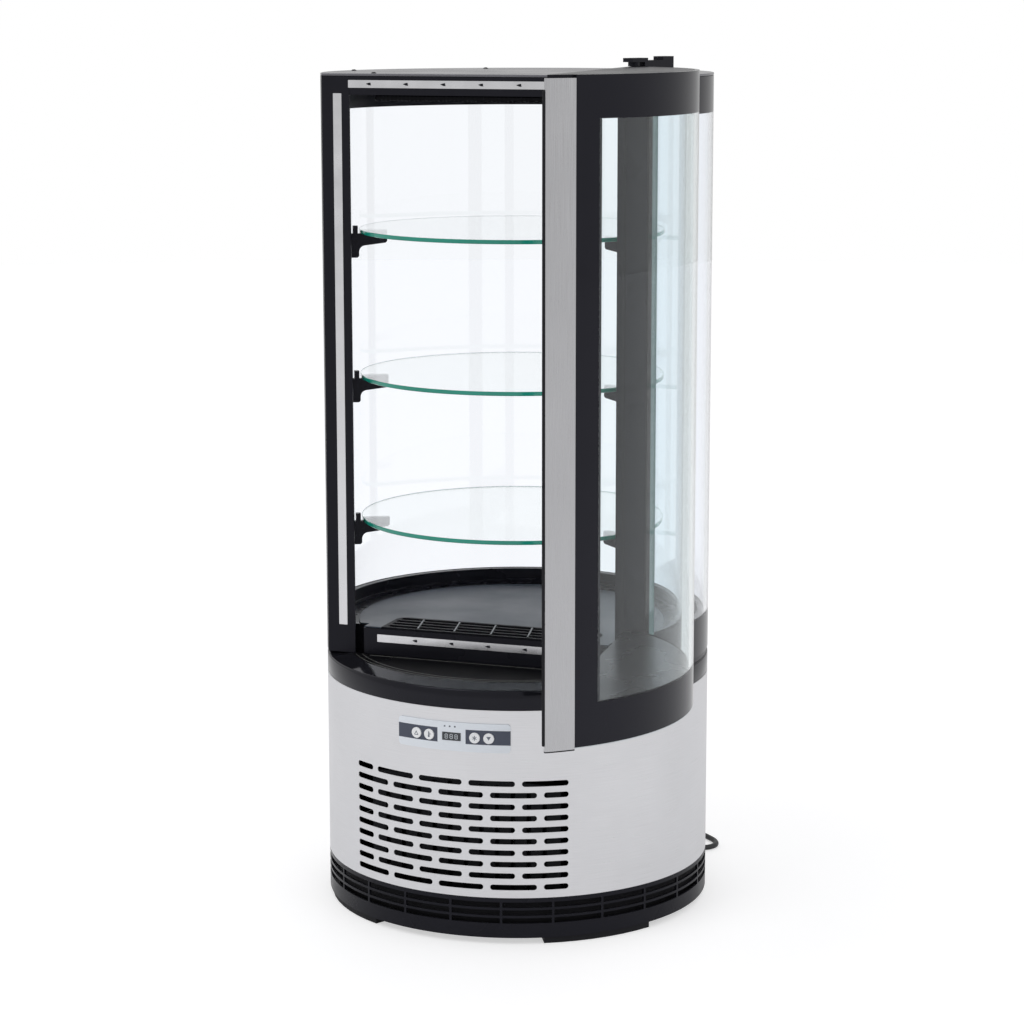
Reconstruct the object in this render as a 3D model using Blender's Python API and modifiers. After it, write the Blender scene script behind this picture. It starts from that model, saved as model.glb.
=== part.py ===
"""Round refrigerated cake display case with a curved glass door, in metres, +Z up.

The origin is at the middle of the base pan's underside, on the axis of the round body.
The front of the case faces -Y and the door hangs on the right-hand post (+X).
The door is modelled closed, about its own hinge axis, and stands open by OPEN_ANGLE.
"""

import math

import bmesh
import bpy
from mathutils import Matrix, Vector

# Clearances shared by the whole case
GAP = 0.0003
MERGE = 0.00001
OVERRUN = 0.010
SHARP_ANGLE = math.radians(30)
BEVEL_ANGLE = math.radians(40)

# Round body
BODY_RADIUS = 0.240
BODY_STEPS = 48
CORNER_STEPS = 3
OPENING_SHARE = 0.5

# Base pan, feet and plinth
FOOT_HEIGHT = 0.008
FOOT_WIDTH = 0.020
FOOT_INSET = 0.003
FOOT_ARC = math.radians(35)
FOOT_STEPS = 7
PAN_THICKNESS = 0.002
PLINTH_HEIGHT = 0.0497
PLINTH_WALL = 0.003
PLINTH_FLANGE_DEPTH = 0.014
PLINTH_FLANGE_THICKNESS = 0.0025
PLINTH_SOLID_BAND = 0.0181
PLINTH_BAR = 0.003
PLINTH_SLOT_HEIGHT = 0.0068
PLINTH_SLOT_ROWS = 3
PLINTH_RIBS = 24
PLINTH_RIB_WIDTH = 0.003

# Drum shell and its front vents
SHELL_THICKNESS = 0.001
SHELL_HEIGHT = 0.2309
VENT_ROWS = 10
VENT_PITCH = 0.01424
VENT_HEIGHT = 0.0068
VENT_LONG = 0.0563
VENT_SHORT = 0.0300
VENT_SPACING = 0.0084
VENT_LONG_SLOTS = 4
VENT_LIFT = 0.0098
VENT_END_STEPS = 3

# Rear service panel
REAR_PANEL_HALF_ARC = 0.085
REAR_PANEL_LIFT = 0.030
REAR_PANEL_HEIGHT = 0.150
REAR_PANEL_CORNER = 0.006
REAR_PANEL_LIP = 0.006
REAR_VENT_ROWS = 5
REAR_VENT_PITCH = 0.022
REAR_VENT_LENGTH = 0.120

# Control fascia, display and push buttons
FASCIA_HALF_ARC = 0.0716
FASCIA_DROP = 0.0513
FASCIA_HEIGHT = 0.035
FASCIA_THICKNESS = 0.0015
FASCIA_CORNER = 0.004
FASCIA_SHIFT = 0.003
FASCIA_WINDOW_HALF_WIDTH = 0.060
FASCIA_WINDOW_HEIGHT = 0.026
DISPLAY_WIDTH = 0.023
DISPLAY_HEIGHT = 0.0095
DISPLAY_PROUD = 0.0004
DISPLAY_DEPTH = 0.007
BUTTON_RADIUS = 0.0065
BUTTON_LENGTH = 0.0095
BUTTON_PROUD = 0.0012
BUTTON_INNER_ARC = 0.0287
BUTTON_OUTER_ARC = 0.0457
BUTTON_STEPS = 20
CONTROLLER_WIDTH = 0.116
CONTROLLER_DEPTH = 0.030
CONTROLLER_HEIGHT = 0.032
CONTROLLER_SETBACK = 0.0105

# Moulded collar that closes the drum
COLLAR_WALL_HEIGHT = 0.0223
COLLAR_RISE = 0.0055
COLLAR_WALL = 0.004
COLLAR_EDGE = 0.0015
LEDGE_SETBACK = 0.028
COLLAR_PLATE = 0.0035
COLLAR_HOLE_CLEARANCE = 0.0025

# Insulated deck housing, deck plate and grille
HOUSING_SETBACK = 0.0185
STEP_SIDE_CLEARANCE = 0.009
STEP_CORNER_RELIEF = 0.002
DECK_RISE = 0.035
DECK_PLATE_THICKNESS = 0.0015
DECK_PLATE_SETBACK = 0.040
DECK_FRONT_MARGIN = 0.0015
TUB_SETBACK = 0.0365
TUB_WALL = 0.0135
TUB_FRONT_INSET = 0.004
TUB_DEPTH = 0.077
TUB_FLOOR = 0.015
GRILLE_SIDE_CLEARANCE = 0.032
GRILLE_DEPTH = 0.063
GRILLE_PROUD = 0.0008
GRILLE_END_RADIUS = 0.024
GRILLE_END_STEPS = 5
GRILLE_BORDER = 0.005
GRILLE_BARS = 4
GRILLE_CROSS_RIBS = 5
GRILLE_RIB_PITCH = 0.048
GRILLE_CROSS_WIDTH = 0.003
GRILLE_BAR_WIDTH = 0.005
GRILLE_SLANT = math.radians(-13)

# Frame: posts, header, rings, ceiling and top cover
POST_SHARE = 0.7041667
POST_DEPTH = 0.018
POST_LIP = 0.002
POST_SLANT = 0.0085
LEFT_POST_RECESS = 0.0028
CABINET_HEIGHT = 0.6762
TOP_COVER_THICKNESS = 0.003
HEADER_HEIGHT = 0.0222
RING_DEPTH = 0.012
RING_LIP = 0.004
RING_LEDGE = 0.004
LOWER_RING_RISE = 0.016
LOWER_RING_STEP_RISE = 0.002
UPPER_RING_DROP = 0.0214
CEILING_THICKNESS = 0.003
GLASS_THICKNESS = 0.005
GLASS_LIFT = 0.003
GLASS_SEAT_CLEARANCE = 0.0005

# Magnetic catch strips let into the frame
STRIP_THICKNESS = 0.0008
STRIP_PROUD = 0.0003
LEFT_STRIP_INSET = 0.0185
LEFT_STRIP_WIDTH = 0.011
LEFT_STRIP_LIFT = 0.0004
LEFT_STRIP_TOP_RISE = 0.0017
TOP_STRIP_REACH = 0.004
TOP_STRIP_DROP = 0.0137
TOP_STRIP_WIDTH = 0.0092
BOTTOM_STRIP_END_CLEARANCE = 0.018
BOTTOM_STRIP_DROP = 0.0185
BOTTOM_STRIP_WIDTH = 0.0095

# Lamp under the ceiling
LAMP_END_CLEARANCE = 0.019
LAMP_DEPTH = 0.020
LAMP_HEIGHT = 0.008
LAMP_SETBACK = 0.026
LAMP_EDGE = 0.002

# Shelves and what carries them
SHELF_SETBACK = 0.0448
SHELF_THICKNESS = 0.005
SHELF_HEIGHT_SHARES = (0.2041, 0.4771, 0.7502)
SHELF_NAMES = ("lower", "middle", "upper")
BRACKET_WIDTH = 0.008
BRACKET_ANGLE = math.radians(28)
BRACKET_BLOCK_LENGTH = 0.0212
BRACKET_BLOCK_DROP = 0.0295
BRACKET_CORNER = 0.002
BRACKET_FILLET = 0.008
BRACKET_FILLET_STEPS = 6
BRACKET_ARM_LENGTH = 0.0558
BRACKET_ARM_ROOT_DROP = 0.0145
BRACKET_ARM_TIP_DROP = 0.0115
BRACKET_TAB_START = 0.0138
BRACKET_TAB_END = 0.0198
BRACKET_TAB_HEIGHT = 0.0095
REAR_POST_HALF_WIDTH = 0.010
REAR_POST_DEPTH = 0.015
REAR_ARM_REACH = 0.040
REAR_ARM_DROP = 0.014
REAR_ARM_TIP_DROP = 0.004

# Curved glass door, in its closed place
DOOR_PLANE_CLEARANCE = 0.0045
DOOR_LIFT = 0.010
DOOR_TOP_RISE = 0.0141
HINGE_END_SHARE = 0.8208333
HINGE_PIN_INSET = 0.007
HINGE_PIN_DEPTH = 0.005
OPEN_ANGLE = math.radians(95)
BOTTOM_RAIL_HEIGHT = 0.0482
TOP_RAIL_HEIGHT = 0.0453
HANDLE_END_ANGLE = math.radians(50.6)
HANDLE_THICKNESS = 0.0045
HANDLE_TOP_DROP = 0.0035
HANDLE_BOTTOM_DROP = 0.0020
STILE_END_ANGLE = math.radians(43.5)
STILE_DEPTH = 0.012
HINGE_STILE_WIDTH = 0.017
DOOR_ARC_STEPS = 26
HANDLE_STEPS = 4
FILM = 0.0003
GASKET_THICKNESS = 0.0036
GASKET_WIDTH = 0.014
GASKET_LEFT_SETBACK = 0.0355
GASKET_RIGHT_CLEARANCE = 0.008
GASKET_BOTTOM_INSET = 0.0045
GASKET_TOP_INSET = 0.0153

# Door hinge brackets and their pins
PIN_RADIUS = 0.0025
PIN_CLEARANCE = 0.0003
PIN_DEPTH = 0.018
PIN_STEPS = 16
BOTTOM_BRACKET_THICKNESS = 0.003
BOTTOM_BRACKET_LENGTH = 0.040
BOTTOM_BRACKET_HALF_WIDTH = 0.008
SHOULDER_RADIUS = 0.006
TOP_BRACKET_ANGLE = math.radians(70.9)
TOP_BRACKET_HALF_WIDTH = 0.007
TOP_BRACKET_BASE_START = 0.0125
TOP_BRACKET_BASE_LENGTH = 0.0565
TOP_BRACKET_MIDDLE_DROP = 0.003
TOP_BRACKET_RISER = 0.006
TOP_BRACKET_ARM_THICKNESS = 0.0047
TOP_BRACKET_ARM_CLEARANCE = 0.005
TOP_BRACKET_ARM_REACH = 0.0114
TOP_BRACKET_CAP_LENGTH = 0.021
TOP_BRACKET_CAP_RISE = 0.0012

# Cooling parts inside
CONDENSER_SIDE_SETBACK = 0.118
CONDENSER_DEPTH = 0.034
CONDENSER_HEIGHT_SHARE = 0.779
CONDENSER_SETBACK = 0.054
FIN_GROOVES = 11
FIN_GROOVE_WIDTH = 0.006
FIN_GROOVE_DEPTH = 0.010
MOTOR_RADIUS = 0.022
MOTOR_LENGTH = 0.040
MOTOR_FOOT_WIDTH = 0.030
MOTOR_FOOT_THICKNESS = 0.004
SHAFT_RADIUS = 0.003
SHAFT_LENGTH = 0.013
FAN_RADIUS = 0.072
FAN_HUB_RADIUS = 0.016
FAN_HUB_LENGTH = 0.012
FAN_BLADES = 5
BLADE_WIDTH = 0.028
BLADE_THICKNESS = 0.002
BLADE_PITCH = math.radians(24)
CONDENSER_FAN_SPACE = 0.016
COMPRESSOR_RADIUS = 0.062
COMPRESSOR_HEIGHT_SHARE = 0.65
COMPRESSOR_SHOULDER = 0.026
DOME_STEPS = 4
COMPRESSOR_X = -0.050
COMPRESSOR_SETBACK = 0.145
COMPRESSOR_FOOT = 0.150
COMPRESSOR_FOOT_THICKNESS = 0.004
EVAPORATOR_SIDE_SETBACK = 0.130
EVAPORATOR_DEPTH = 0.050
EVAPORATOR_HEIGHT = 0.070
EVAPORATOR_FRONT = 0.060
EVAPORATOR_MOTOR_RADIUS = 0.015
EVAPORATOR_MOTOR_LENGTH = 0.022
EVAPORATOR_FAN_RADIUS = 0.032
EVAPORATOR_FAN_HUB = 0.010
EVAPORATOR_BLADE_WIDTH = 0.014
EVAPORATOR_FAN_SPACE = 0.005

# Mains lead: gland, free stretch, coil, tail and plug
GLAND_ANGLE = math.radians(165)
GLAND_LIFT = 0.016
GLAND_FLANGE_RADIUS = 0.011
GLAND_FLANGE_THICKNESS = 0.004
GLAND_NECK_RADIUS = 0.007
GLAND_TIP_RADIUS = 0.005
GLAND_LENGTH = 0.034
GLAND_INSIDE = 0.008
CORD_RADIUS = 0.0035
CORD_SPACING = 0.016
CORD_SAMPLES = 20
COIL_X = -0.045
COIL_SETBACK = 0.065
COIL_INNER_RADIUS = 0.0297
COIL_PITCH = 0.0088
COIL_LAYER = 0.0080
COIL_TURNS_IN = 2.5
COIL_TURNS_OUT = 2.0
COIL_LOOP_POINTS = 24
TAIL_LENGTH = 0.064
PLUG_RADIUS = 0.0185
PLUG_FACE_LENGTH = 0.022
PLUG_LENGTH = 0.040
PLUG_NECK_RADIUS = 0.006
PLUG_STEPS = 20
PLUG_PIN_RADIUS = 0.0024
PLUG_PIN_LENGTH = 0.019
PLUG_PIN_SPACING = 0.019

# Radii and places across that follow from the sizes above
OPENING_PLANE = BODY_RADIUS * OPENING_SHARE
POST_BACK = OPENING_PLANE - POST_DEPTH
POST_INNER = BODY_RADIUS * POST_SHARE
PLINTH_INNER = BODY_RADIUS - PLINTH_WALL
FOOT_OUTER = BODY_RADIUS - FOOT_INSET
FOOT_INNER = FOOT_OUTER - FOOT_WIDTH
LEDGE_RADIUS = BODY_RADIUS - LEDGE_SETBACK
HOUSING_RADIUS = BODY_RADIUS - HOUSING_SETBACK
DECK_PLATE_RADIUS = BODY_RADIUS - DECK_PLATE_SETBACK
TUB_RADIUS = BODY_RADIUS - TUB_SETBACK
COLLAR_HOLE_RADIUS = TUB_RADIUS + COLLAR_HOLE_CLEARANCE
STEP_HALF_WIDTH = POST_INNER - STEP_SIDE_CLEARANCE
GRILLE_HALF_WIDTH = POST_INNER - GRILLE_SIDE_CLEARANCE
LEFT_STRIP_CENTRE = POST_INNER + LEFT_STRIP_INSET
TOP_STRIP_HALF_LENGTH = POST_INNER + TOP_STRIP_REACH
BOTTOM_STRIP_HALF_LENGTH = STEP_HALF_WIDTH - BOTTOM_STRIP_END_CLEARANCE
LAMP_HALF_LENGTH = POST_INNER - LAMP_END_CLEARANCE
SHELF_RADIUS = BODY_RADIUS - SHELF_SETBACK
DOOR_PLANE = OPENING_PLANE + DOOR_PLANE_CLEARANCE
HINGE_END = BODY_RADIUS * HINGE_END_SHARE
HINGE_X = HINGE_END - HINGE_PIN_INSET
HINGE_Y = -DOOR_PLANE - HINGE_PIN_DEPTH
HINGE_STILE_START = HINGE_END - HINGE_STILE_WIDTH
GASKET_LEFT = BODY_RADIUS - GASKET_LEFT_SETBACK
GASKET_RIGHT = HINGE_END - GASKET_RIGHT_CLEARANCE
BOTTOM_BRACKET_START = HINGE_X - BOTTOM_BRACKET_LENGTH
CONDENSER_HALF_WIDTH = BODY_RADIUS - CONDENSER_SIDE_SETBACK
CONDENSER_FRONT = BODY_RADIUS - CONDENSER_SETBACK
EVAPORATOR_HALF_WIDTH = BODY_RADIUS - EVAPORATOR_SIDE_SETBACK
COIL_Y = BODY_RADIUS + COIL_SETBACK
COMPRESSOR_Y = BODY_RADIUS - COMPRESSOR_SETBACK

# Heights that follow from the sizes above
FLOOR = -FOOT_HEIGHT
SHELL_BOTTOM = PLINTH_HEIGHT + GAP
SHELL_TOP = SHELL_BOTTOM + SHELL_HEIGHT
GLAND_HEIGHT = SHELL_BOTTOM + GLAND_LIFT
FASCIA_BOTTOM = SHELL_TOP - FASCIA_DROP
COLLAR_BOTTOM = SHELL_TOP + GAP
COLLAR_WALL_TOP = COLLAR_BOTTOM + COLLAR_WALL_HEIGHT
LEDGE_HEIGHT = COLLAR_WALL_TOP + COLLAR_RISE
TUB_BOTTOM = LEDGE_HEIGHT - TUB_DEPTH
CONDENSER_HEIGHT = (TUB_BOTTOM - PAN_THICKNESS) * CONDENSER_HEIGHT_SHARE
COMPRESSOR_HEIGHT = (TUB_BOTTOM - PAN_THICKNESS) * COMPRESSOR_HEIGHT_SHARE
DECK_TOP = LEDGE_HEIGHT + DECK_RISE
DECK_SEAT = DECK_TOP - DECK_PLATE_THICKNESS - GAP
GLASS_BOTTOM = LEDGE_HEIGHT + GLASS_LIFT
LOWER_RING_TOP = DECK_TOP + LOWER_RING_RISE
LOWER_RING_STEP = DECK_TOP + LOWER_RING_STEP_RISE
FRAME_TOP = DECK_TOP + CABINET_HEIGHT
HEADER_BOTTOM = FRAME_TOP - HEADER_HEIGHT
UPPER_RING_BOTTOM = HEADER_BOTTOM - UPPER_RING_DROP
LEFT_STRIP_BOTTOM = DECK_TOP + LEFT_STRIP_LIFT
LEFT_STRIP_TOP = HEADER_BOTTOM + LEFT_STRIP_TOP_RISE
TOP_STRIP_BOTTOM = FRAME_TOP - TOP_STRIP_DROP
BOTTOM_STRIP_BOTTOM = DECK_TOP - BOTTOM_STRIP_DROP
DOOR_BOTTOM = LEDGE_HEIGHT + DOOR_LIFT
DOOR_TOP = FRAME_TOP + DOOR_TOP_RISE
SHELF_TOPS = [DECK_TOP + (HEADER_BOTTOM - DECK_TOP) * share for share in SHELF_HEIGHT_SHARES]

# Faces and edges that follow from the sizes above
GLASS_INNER = BODY_RADIUS - GLASS_THICKNESS
RING_OUTER = GLASS_INNER - GLASS_SEAT_CLEARANCE
RING_INNER = RING_OUTER - RING_DEPTH
RING_UPPER_INNER = RING_INNER + RING_LIP
TOP_COVER_BOTTOM = FRAME_TOP + GAP
CASE_TOP = TOP_COVER_BOTTOM + TOP_COVER_THICKNESS
FASCIA_MIDDLE = FASCIA_BOTTOM + FASCIA_HEIGHT / 2
FASCIA_INNER = BODY_RADIUS + GAP
FASCIA_OUTER = FASCIA_INNER + FASCIA_THICKNESS
HINGE = Vector((HINGE_X, HINGE_Y, 0))
DOOR_INNER_BOTTOM = DOOR_BOTTOM + BOTTOM_RAIL_HEIGHT + GAP
DOOR_INNER_TOP = DOOR_TOP - TOP_RAIL_HEIGHT - GAP
RAIL_RADIUS = GLASS_INNER - FILM
CORD_FLOOR = FLOOR + CORD_RADIUS
CORD_DIAMETER = 2 * CORD_RADIUS
CUT_ROUND_STEPS = BODY_STEPS * 2 // 3

# Route of the free mains lead, from the gland to the coil: place across, distance behind
# the body's rear and height over where it lies on the floor, chosen by hand.
LEAD_ROUTE = [
    (0.0785, 0.0530, 0.0700),
    (0.0835, 0.0680, 0.0645),
    (0.0895, 0.0785, 0.0525),
    (0.0970, 0.0835, 0.0360),
    (0.1070, 0.0825, 0.0205),
    (0.1190, 0.0760, 0.0090),
    (0.1325, 0.0660, 0.0015),
    (0.1470, 0.0550, 0),
    (0.1620, 0.0430, 0),
    (0.1770, 0.0300, 0),
    (0.1900, 0.0160, 0),
    (0.1955, 0, 0),
    (0.1900, -0.0140, 0),
    (0.1760, -0.0210, 0),
    (0.1580, -0.0200, 0),
    (0.1380, -0.0125, 0),
    (0.1150, -0.0035, 0),
    (0.0900, 0.0037, 0),
    (0.0620, 0.0090, 0),
    (0.0320, 0.0120, 0),
    (0.0050, 0.0131, 0),
]

COLOURS = {
    "steel": ((0.60, 0.60, 0.61), 0.34, 1.0),
    "bright_steel": ((0.66, 0.66, 0.67), 0.25, 1.0),
    "black_plastic": ((0.016, 0.016, 0.020), 0.38, 0.0),
    "black_paint": ((0.020, 0.020, 0.024), 0.45, 0.0),
    "grey_panel": ((0.62, 0.64, 0.68), 0.40, 0.0),
    "white_button": ((0.85, 0.86, 0.88), 0.35, 0.0),
    "dark_display": ((0.05, 0.06, 0.07), 0.20, 0.0),
    "deck_paint": ((0.17, 0.19, 0.22), 0.50, 0.0),
    "glass": ((0.80, 0.93, 0.92), 0.05, 0.0),
    "rubber": ((0.020, 0.020, 0.022), 0.70, 0.0),
    "aluminium": ((0.70, 0.71, 0.73), 0.40, 1.0),
    "lamp": ((0.92, 0.93, 0.95), 0.30, 0.0),
}


def clear_scene():
    for item in list(bpy.data.objects):
        bpy.data.objects.remove(item, do_unlink=True)


def make_collection(name):
    collection = bpy.data.collections.new(name)
    bpy.context.scene.collection.children.link(collection)
    return collection


def finish_material(name, finish):
    colour, roughness, metallic = COLOURS[finish]
    material = bpy.data.materials.new(name + "_finish")
    material.use_nodes = True
    shader = material.node_tree.nodes["Principled BSDF"]
    shader.inputs["Base Color"].default_value = (*colour, 1)
    shader.inputs["Roughness"].default_value = roughness
    shader.inputs["Metallic"].default_value = metallic
    return material


def link_part(name, mesh, finish):
    """A named sub-part with its own material."""
    item = bpy.data.objects.new(name, mesh)
    item.data.materials.clear()
    item.data.materials.append(finish_material(name, finish))
    PARTS.objects.link(item)
    return item


def link_cutter(name, mesh):
    """A helper solid that only shapes other pieces."""
    item = bpy.data.objects.new(name, mesh)
    item.hide_render = True
    item.display_type = "WIRE"
    CUTTERS.objects.link(item)
    return item


def smooth(mesh):
    mesh.shade_smooth()
    mesh.set_sharp_from_angle(angle=SHARP_ANGLE)


def evaluated_mesh(item):
    graph = bpy.context.evaluated_depsgraph_get()
    return bpy.data.meshes.new_from_object(item.evaluated_get(graph), depsgraph=graph)


def weld(mesh):
    work = bmesh.new()
    work.from_mesh(mesh)
    bmesh.ops.remove_doubles(work, verts=work.verts, dist=MERGE)
    bmesh.ops.recalc_face_normals(work, faces=work.faces)
    work.to_mesh(mesh)
    work.free()
    return mesh


def bake_curve(curve):
    """Turn a curve into a closed mesh, welded at its caps."""
    item = bpy.data.objects.new("outline", curve)
    CUTTERS.objects.link(item)
    mesh = weld(evaluated_mesh(item))
    bpy.data.objects.remove(item, do_unlink=True)
    bpy.data.curves.remove(curve)
    return mesh


def plate_mesh(outlines, low, high):
    """A flat plate between two heights: the first outline is its edge, others are holes."""
    curve = bpy.data.curves.new("outline", "CURVE")
    curve.dimensions = "2D"
    curve.fill_mode = "BOTH"
    curve.extrude = (high - low) / 2
    for outline in outlines:
        spline = curve.splines.new("POLY")
        spline.points.add(len(outline) - 1)
        for point, place in zip(spline.points, outline):
            point.co = (place[0], place[1], 0, 1)
        spline.use_cyclic_u = True
    mesh = bake_curve(curve)
    mesh.transform(Matrix.Translation((0, 0, (low + high) / 2)))
    return mesh


def upright(mesh, front):
    """Stand a plate drawn in width and height on edge, its face at depth `front` (-Y)."""
    mesh.transform(Matrix.Translation((0, -front, 0)) @ Matrix.Rotation(math.radians(90), 4, "X"))
    return mesh


def turned_mesh(profile, steps):
    """A profile of radius and height, outer side first from top to bottom, turned round."""
    mesh = bpy.data.meshes.new("profile")
    points = [(radius, 0, height) for radius, height in profile]
    open_profile = profile[0][0] == 0
    count = len(points)
    edges = [(i, i + 1) for i in range(count - 1)]
    if not open_profile:
        edges.append((count - 1, 0))
    mesh.from_pydata(points, edges, [])
    item = bpy.data.objects.new("profile", mesh)
    CUTTERS.objects.link(item)
    screw = item.modifiers.new("turn", "SCREW")
    screw.angle = math.tau
    screw.steps = steps
    screw.render_steps = steps
    screw.use_merge_vertices = True
    screw.merge_threshold = MERGE
    screw.use_smooth_shade = False
    turned = weld(evaluated_mesh(item))
    bpy.data.objects.remove(item, do_unlink=True)
    return turned


def box_mesh(low, high):
    work = bmesh.new()
    size = [b - a for a, b in zip(low, high)]
    middle = [(a + b) / 2 for a, b in zip(low, high)]
    bmesh.ops.create_cube(work, size=1)
    place = Matrix.Translation(middle) @ Matrix.Diagonal((*size, 1))
    bmesh.ops.transform(work, matrix=place, verts=work.verts)
    mesh = bpy.data.meshes.new("box")
    work.to_mesh(mesh)
    work.free()
    return mesh


def rod_mesh(radius, length, steps, tip_radius=None):
    """A rod from the origin along +Z."""
    work = bmesh.new()
    bmesh.ops.create_cone(
        work, cap_ends=True, segments=steps, radius1=radius,
        radius2=radius if tip_radius is None else tip_radius, depth=length,
        matrix=Matrix.Translation((0, 0, length / 2)))
    mesh = bpy.data.meshes.new("rod")
    work.to_mesh(mesh)
    work.free()
    return mesh


def combine(meshes):
    """Several separate solids as one mesh, for cutters that do not touch each other."""
    work = bmesh.new()
    for mesh in meshes:
        work.from_mesh(mesh)
    joined = bpy.data.meshes.new("group")
    work.to_mesh(joined)
    work.free()
    return joined


def shape(item, tool_mesh, operation):
    """Cut, join or trim a part with a tool solid kept in the cutters' collection."""
    tool = link_cutter(item.name + "_" + operation.lower(), tool_mesh)
    step = item.modifiers.new(operation.lower(), "BOOLEAN")
    step.operation = operation
    step.object = tool
    step.solver = "EXACT"
    return step


def bevel(item, width):
    step = item.modifiers.new("soft edges", "BEVEL")
    step.width = width
    step.segments = 1
    step.limit_method = "ANGLE"
    step.angle_limit = BEVEL_ANGLE
    return item


def place_on_wall(mesh, angle, radius, height):
    """Turn a solid that lies along +Z so that it points out of the round wall."""
    turn = Matrix.Rotation(angle, 4, "Z") @ Matrix.Rotation(math.radians(90), 4, "X")
    out = Vector((math.sin(angle) * radius, -math.cos(angle) * radius, height))
    mesh.transform(Matrix.Translation(out) @ turn)
    return mesh


def arc(radius, start, end, steps):
    """Points of an arc; angles are measured from the front (-Y) towards the right (+X)."""
    turn = (end - start) / steps
    return [(radius * math.sin(start + turn * i), -radius * math.cos(start + turn * i))
            for i in range(steps + 1)]


def angle_at_plane(radius, plane):
    """Angle from the front at which a circle crosses the plane y = -plane."""
    return math.acos(plane / radius)


def angle_at_side(radius, side):
    return math.asin(side / radius)


def rounded_rectangle(width, height, corner):
    points = []
    for index, (sx, sy) in enumerate(((1, -1), (1, 1), (-1, 1), (-1, -1))):
        cx = sx * (width / 2 - corner)
        cy = sy * (height / 2 - corner)
        for i in range(CORNER_STEPS + 1):
            turn = math.radians(90) * (index - 1 + i / CORNER_STEPS)
            points.append((cx + corner * math.cos(turn), cy + corner * math.sin(turn)))
    return points


def slot_outline(length, height):
    """A slot with round ends, centred on the origin."""
    radius = height / 2
    reach = length / 2 - radius
    points = []
    for side in (1, -1):
        for i in range(VENT_END_STEPS + 1):
            turn = math.radians(-90) + math.pi * i / VENT_END_STEPS
            points.append((side * (reach + radius * math.cos(turn)), side * radius * math.sin(turn)))
    return points


def wall_slot(length, height, angle, level, thickness):
    """A slot-shaped cutter that goes through the round wall at an angle and height."""
    reach = thickness + OVERRUN
    mesh = plate_mesh([slot_outline(length, height)], -reach, reach)
    return place_on_wall(mesh, angle, BODY_RADIUS, level)


def ring_section(outer, inner, start, end, steps):
    return arc(outer, start, end, steps) + arc(inner, end, start, steps)


def make_base():
    pan_radius = FOOT_INNER - GAP
    pan = [(0, PAN_THICKNESS), (pan_radius, PAN_THICKNESS), (pan_radius, 0), (0, 0)]
    link_part("base_pan", turned_mesh(pan, BODY_STEPS), "aluminium")
    for name, middle in (("front_left", -45), ("front_right", 45), ("rear_right", 135), ("rear_left", -135)):
        start = math.radians(middle) - FOOT_ARC / 2
        outline = ring_section(FOOT_OUTER, FOOT_INNER, start, start + FOOT_ARC, FOOT_STEPS)
        link_part("foot_" + name, plate_mesh([outline], FLOOR, -GAP), "rubber")


def make_plinth():
    """A slotted ring wall with a flange over the feet and another under the drum."""
    inner = PLINTH_INNER
    flange = inner - PLINTH_FLANGE_DEPTH
    high = PLINTH_HEIGHT - PLINTH_FLANGE_THICKNESS
    profile = [
        (BODY_RADIUS, PLINTH_HEIGHT), (BODY_RADIUS, 0), (FOOT_INNER, 0), (FOOT_INNER, PAN_THICKNESS),
        (inner, PAN_THICKNESS), (inner, high), (flange, high), (flange, PLINTH_HEIGHT)]
    plinth = link_part("plinth", turned_mesh(profile, BODY_STEPS), "black_plastic")
    pitch = math.tau / PLINTH_RIBS
    width = 2 * BODY_RADIUS * math.tan(pitch / 2) - PLINTH_RIB_WIDTH
    reach = PLINTH_WALL + BODY_RADIUS * (1 - math.cos(pitch / 2))
    slots = []
    for row in range(PLINTH_SLOT_ROWS):
        level = PLINTH_SOLID_BAND + row * (PLINTH_SLOT_HEIGHT + PLINTH_BAR)
        for index in range(PLINTH_RIBS):
            slot = box_mesh((-width / 2, 0, -reach), (width / 2, PLINTH_SLOT_HEIGHT, reach))
            slots.append(place_on_wall(slot, pitch * (index + 1 / 2), BODY_RADIUS, level))
    shape(plinth, combine(slots), "DIFFERENCE")


def vent_slots():
    """Ten staggered rows: each has four long slots and a short one at one end."""
    slots = []
    total = VENT_LONG_SLOTS * (VENT_LONG + VENT_SPACING) + VENT_SHORT
    for row in range(VENT_ROWS):
        level = SHELL_BOTTOM + VENT_LIFT + VENT_HEIGHT / 2 + row * VENT_PITCH
        lengths = [VENT_LONG] * VENT_LONG_SLOTS
        lengths.insert(0 if row % 2 else VENT_LONG_SLOTS, VENT_SHORT)
        left = -total / 2
        for length in lengths:
            angle = (left + length / 2) / BODY_RADIUS
            slots.append(wall_slot(length, VENT_HEIGHT, angle, level, SHELL_THICKNESS))
            left += length + VENT_SPACING
    return slots


def wall_opening(half_width, height, corner, angle, level):
    mesh = plate_mesh([rounded_rectangle(2 * half_width, height, corner)], -3 * OVERRUN, 3 * OVERRUN)
    return place_on_wall(mesh, angle, BODY_RADIUS, level)


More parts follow.
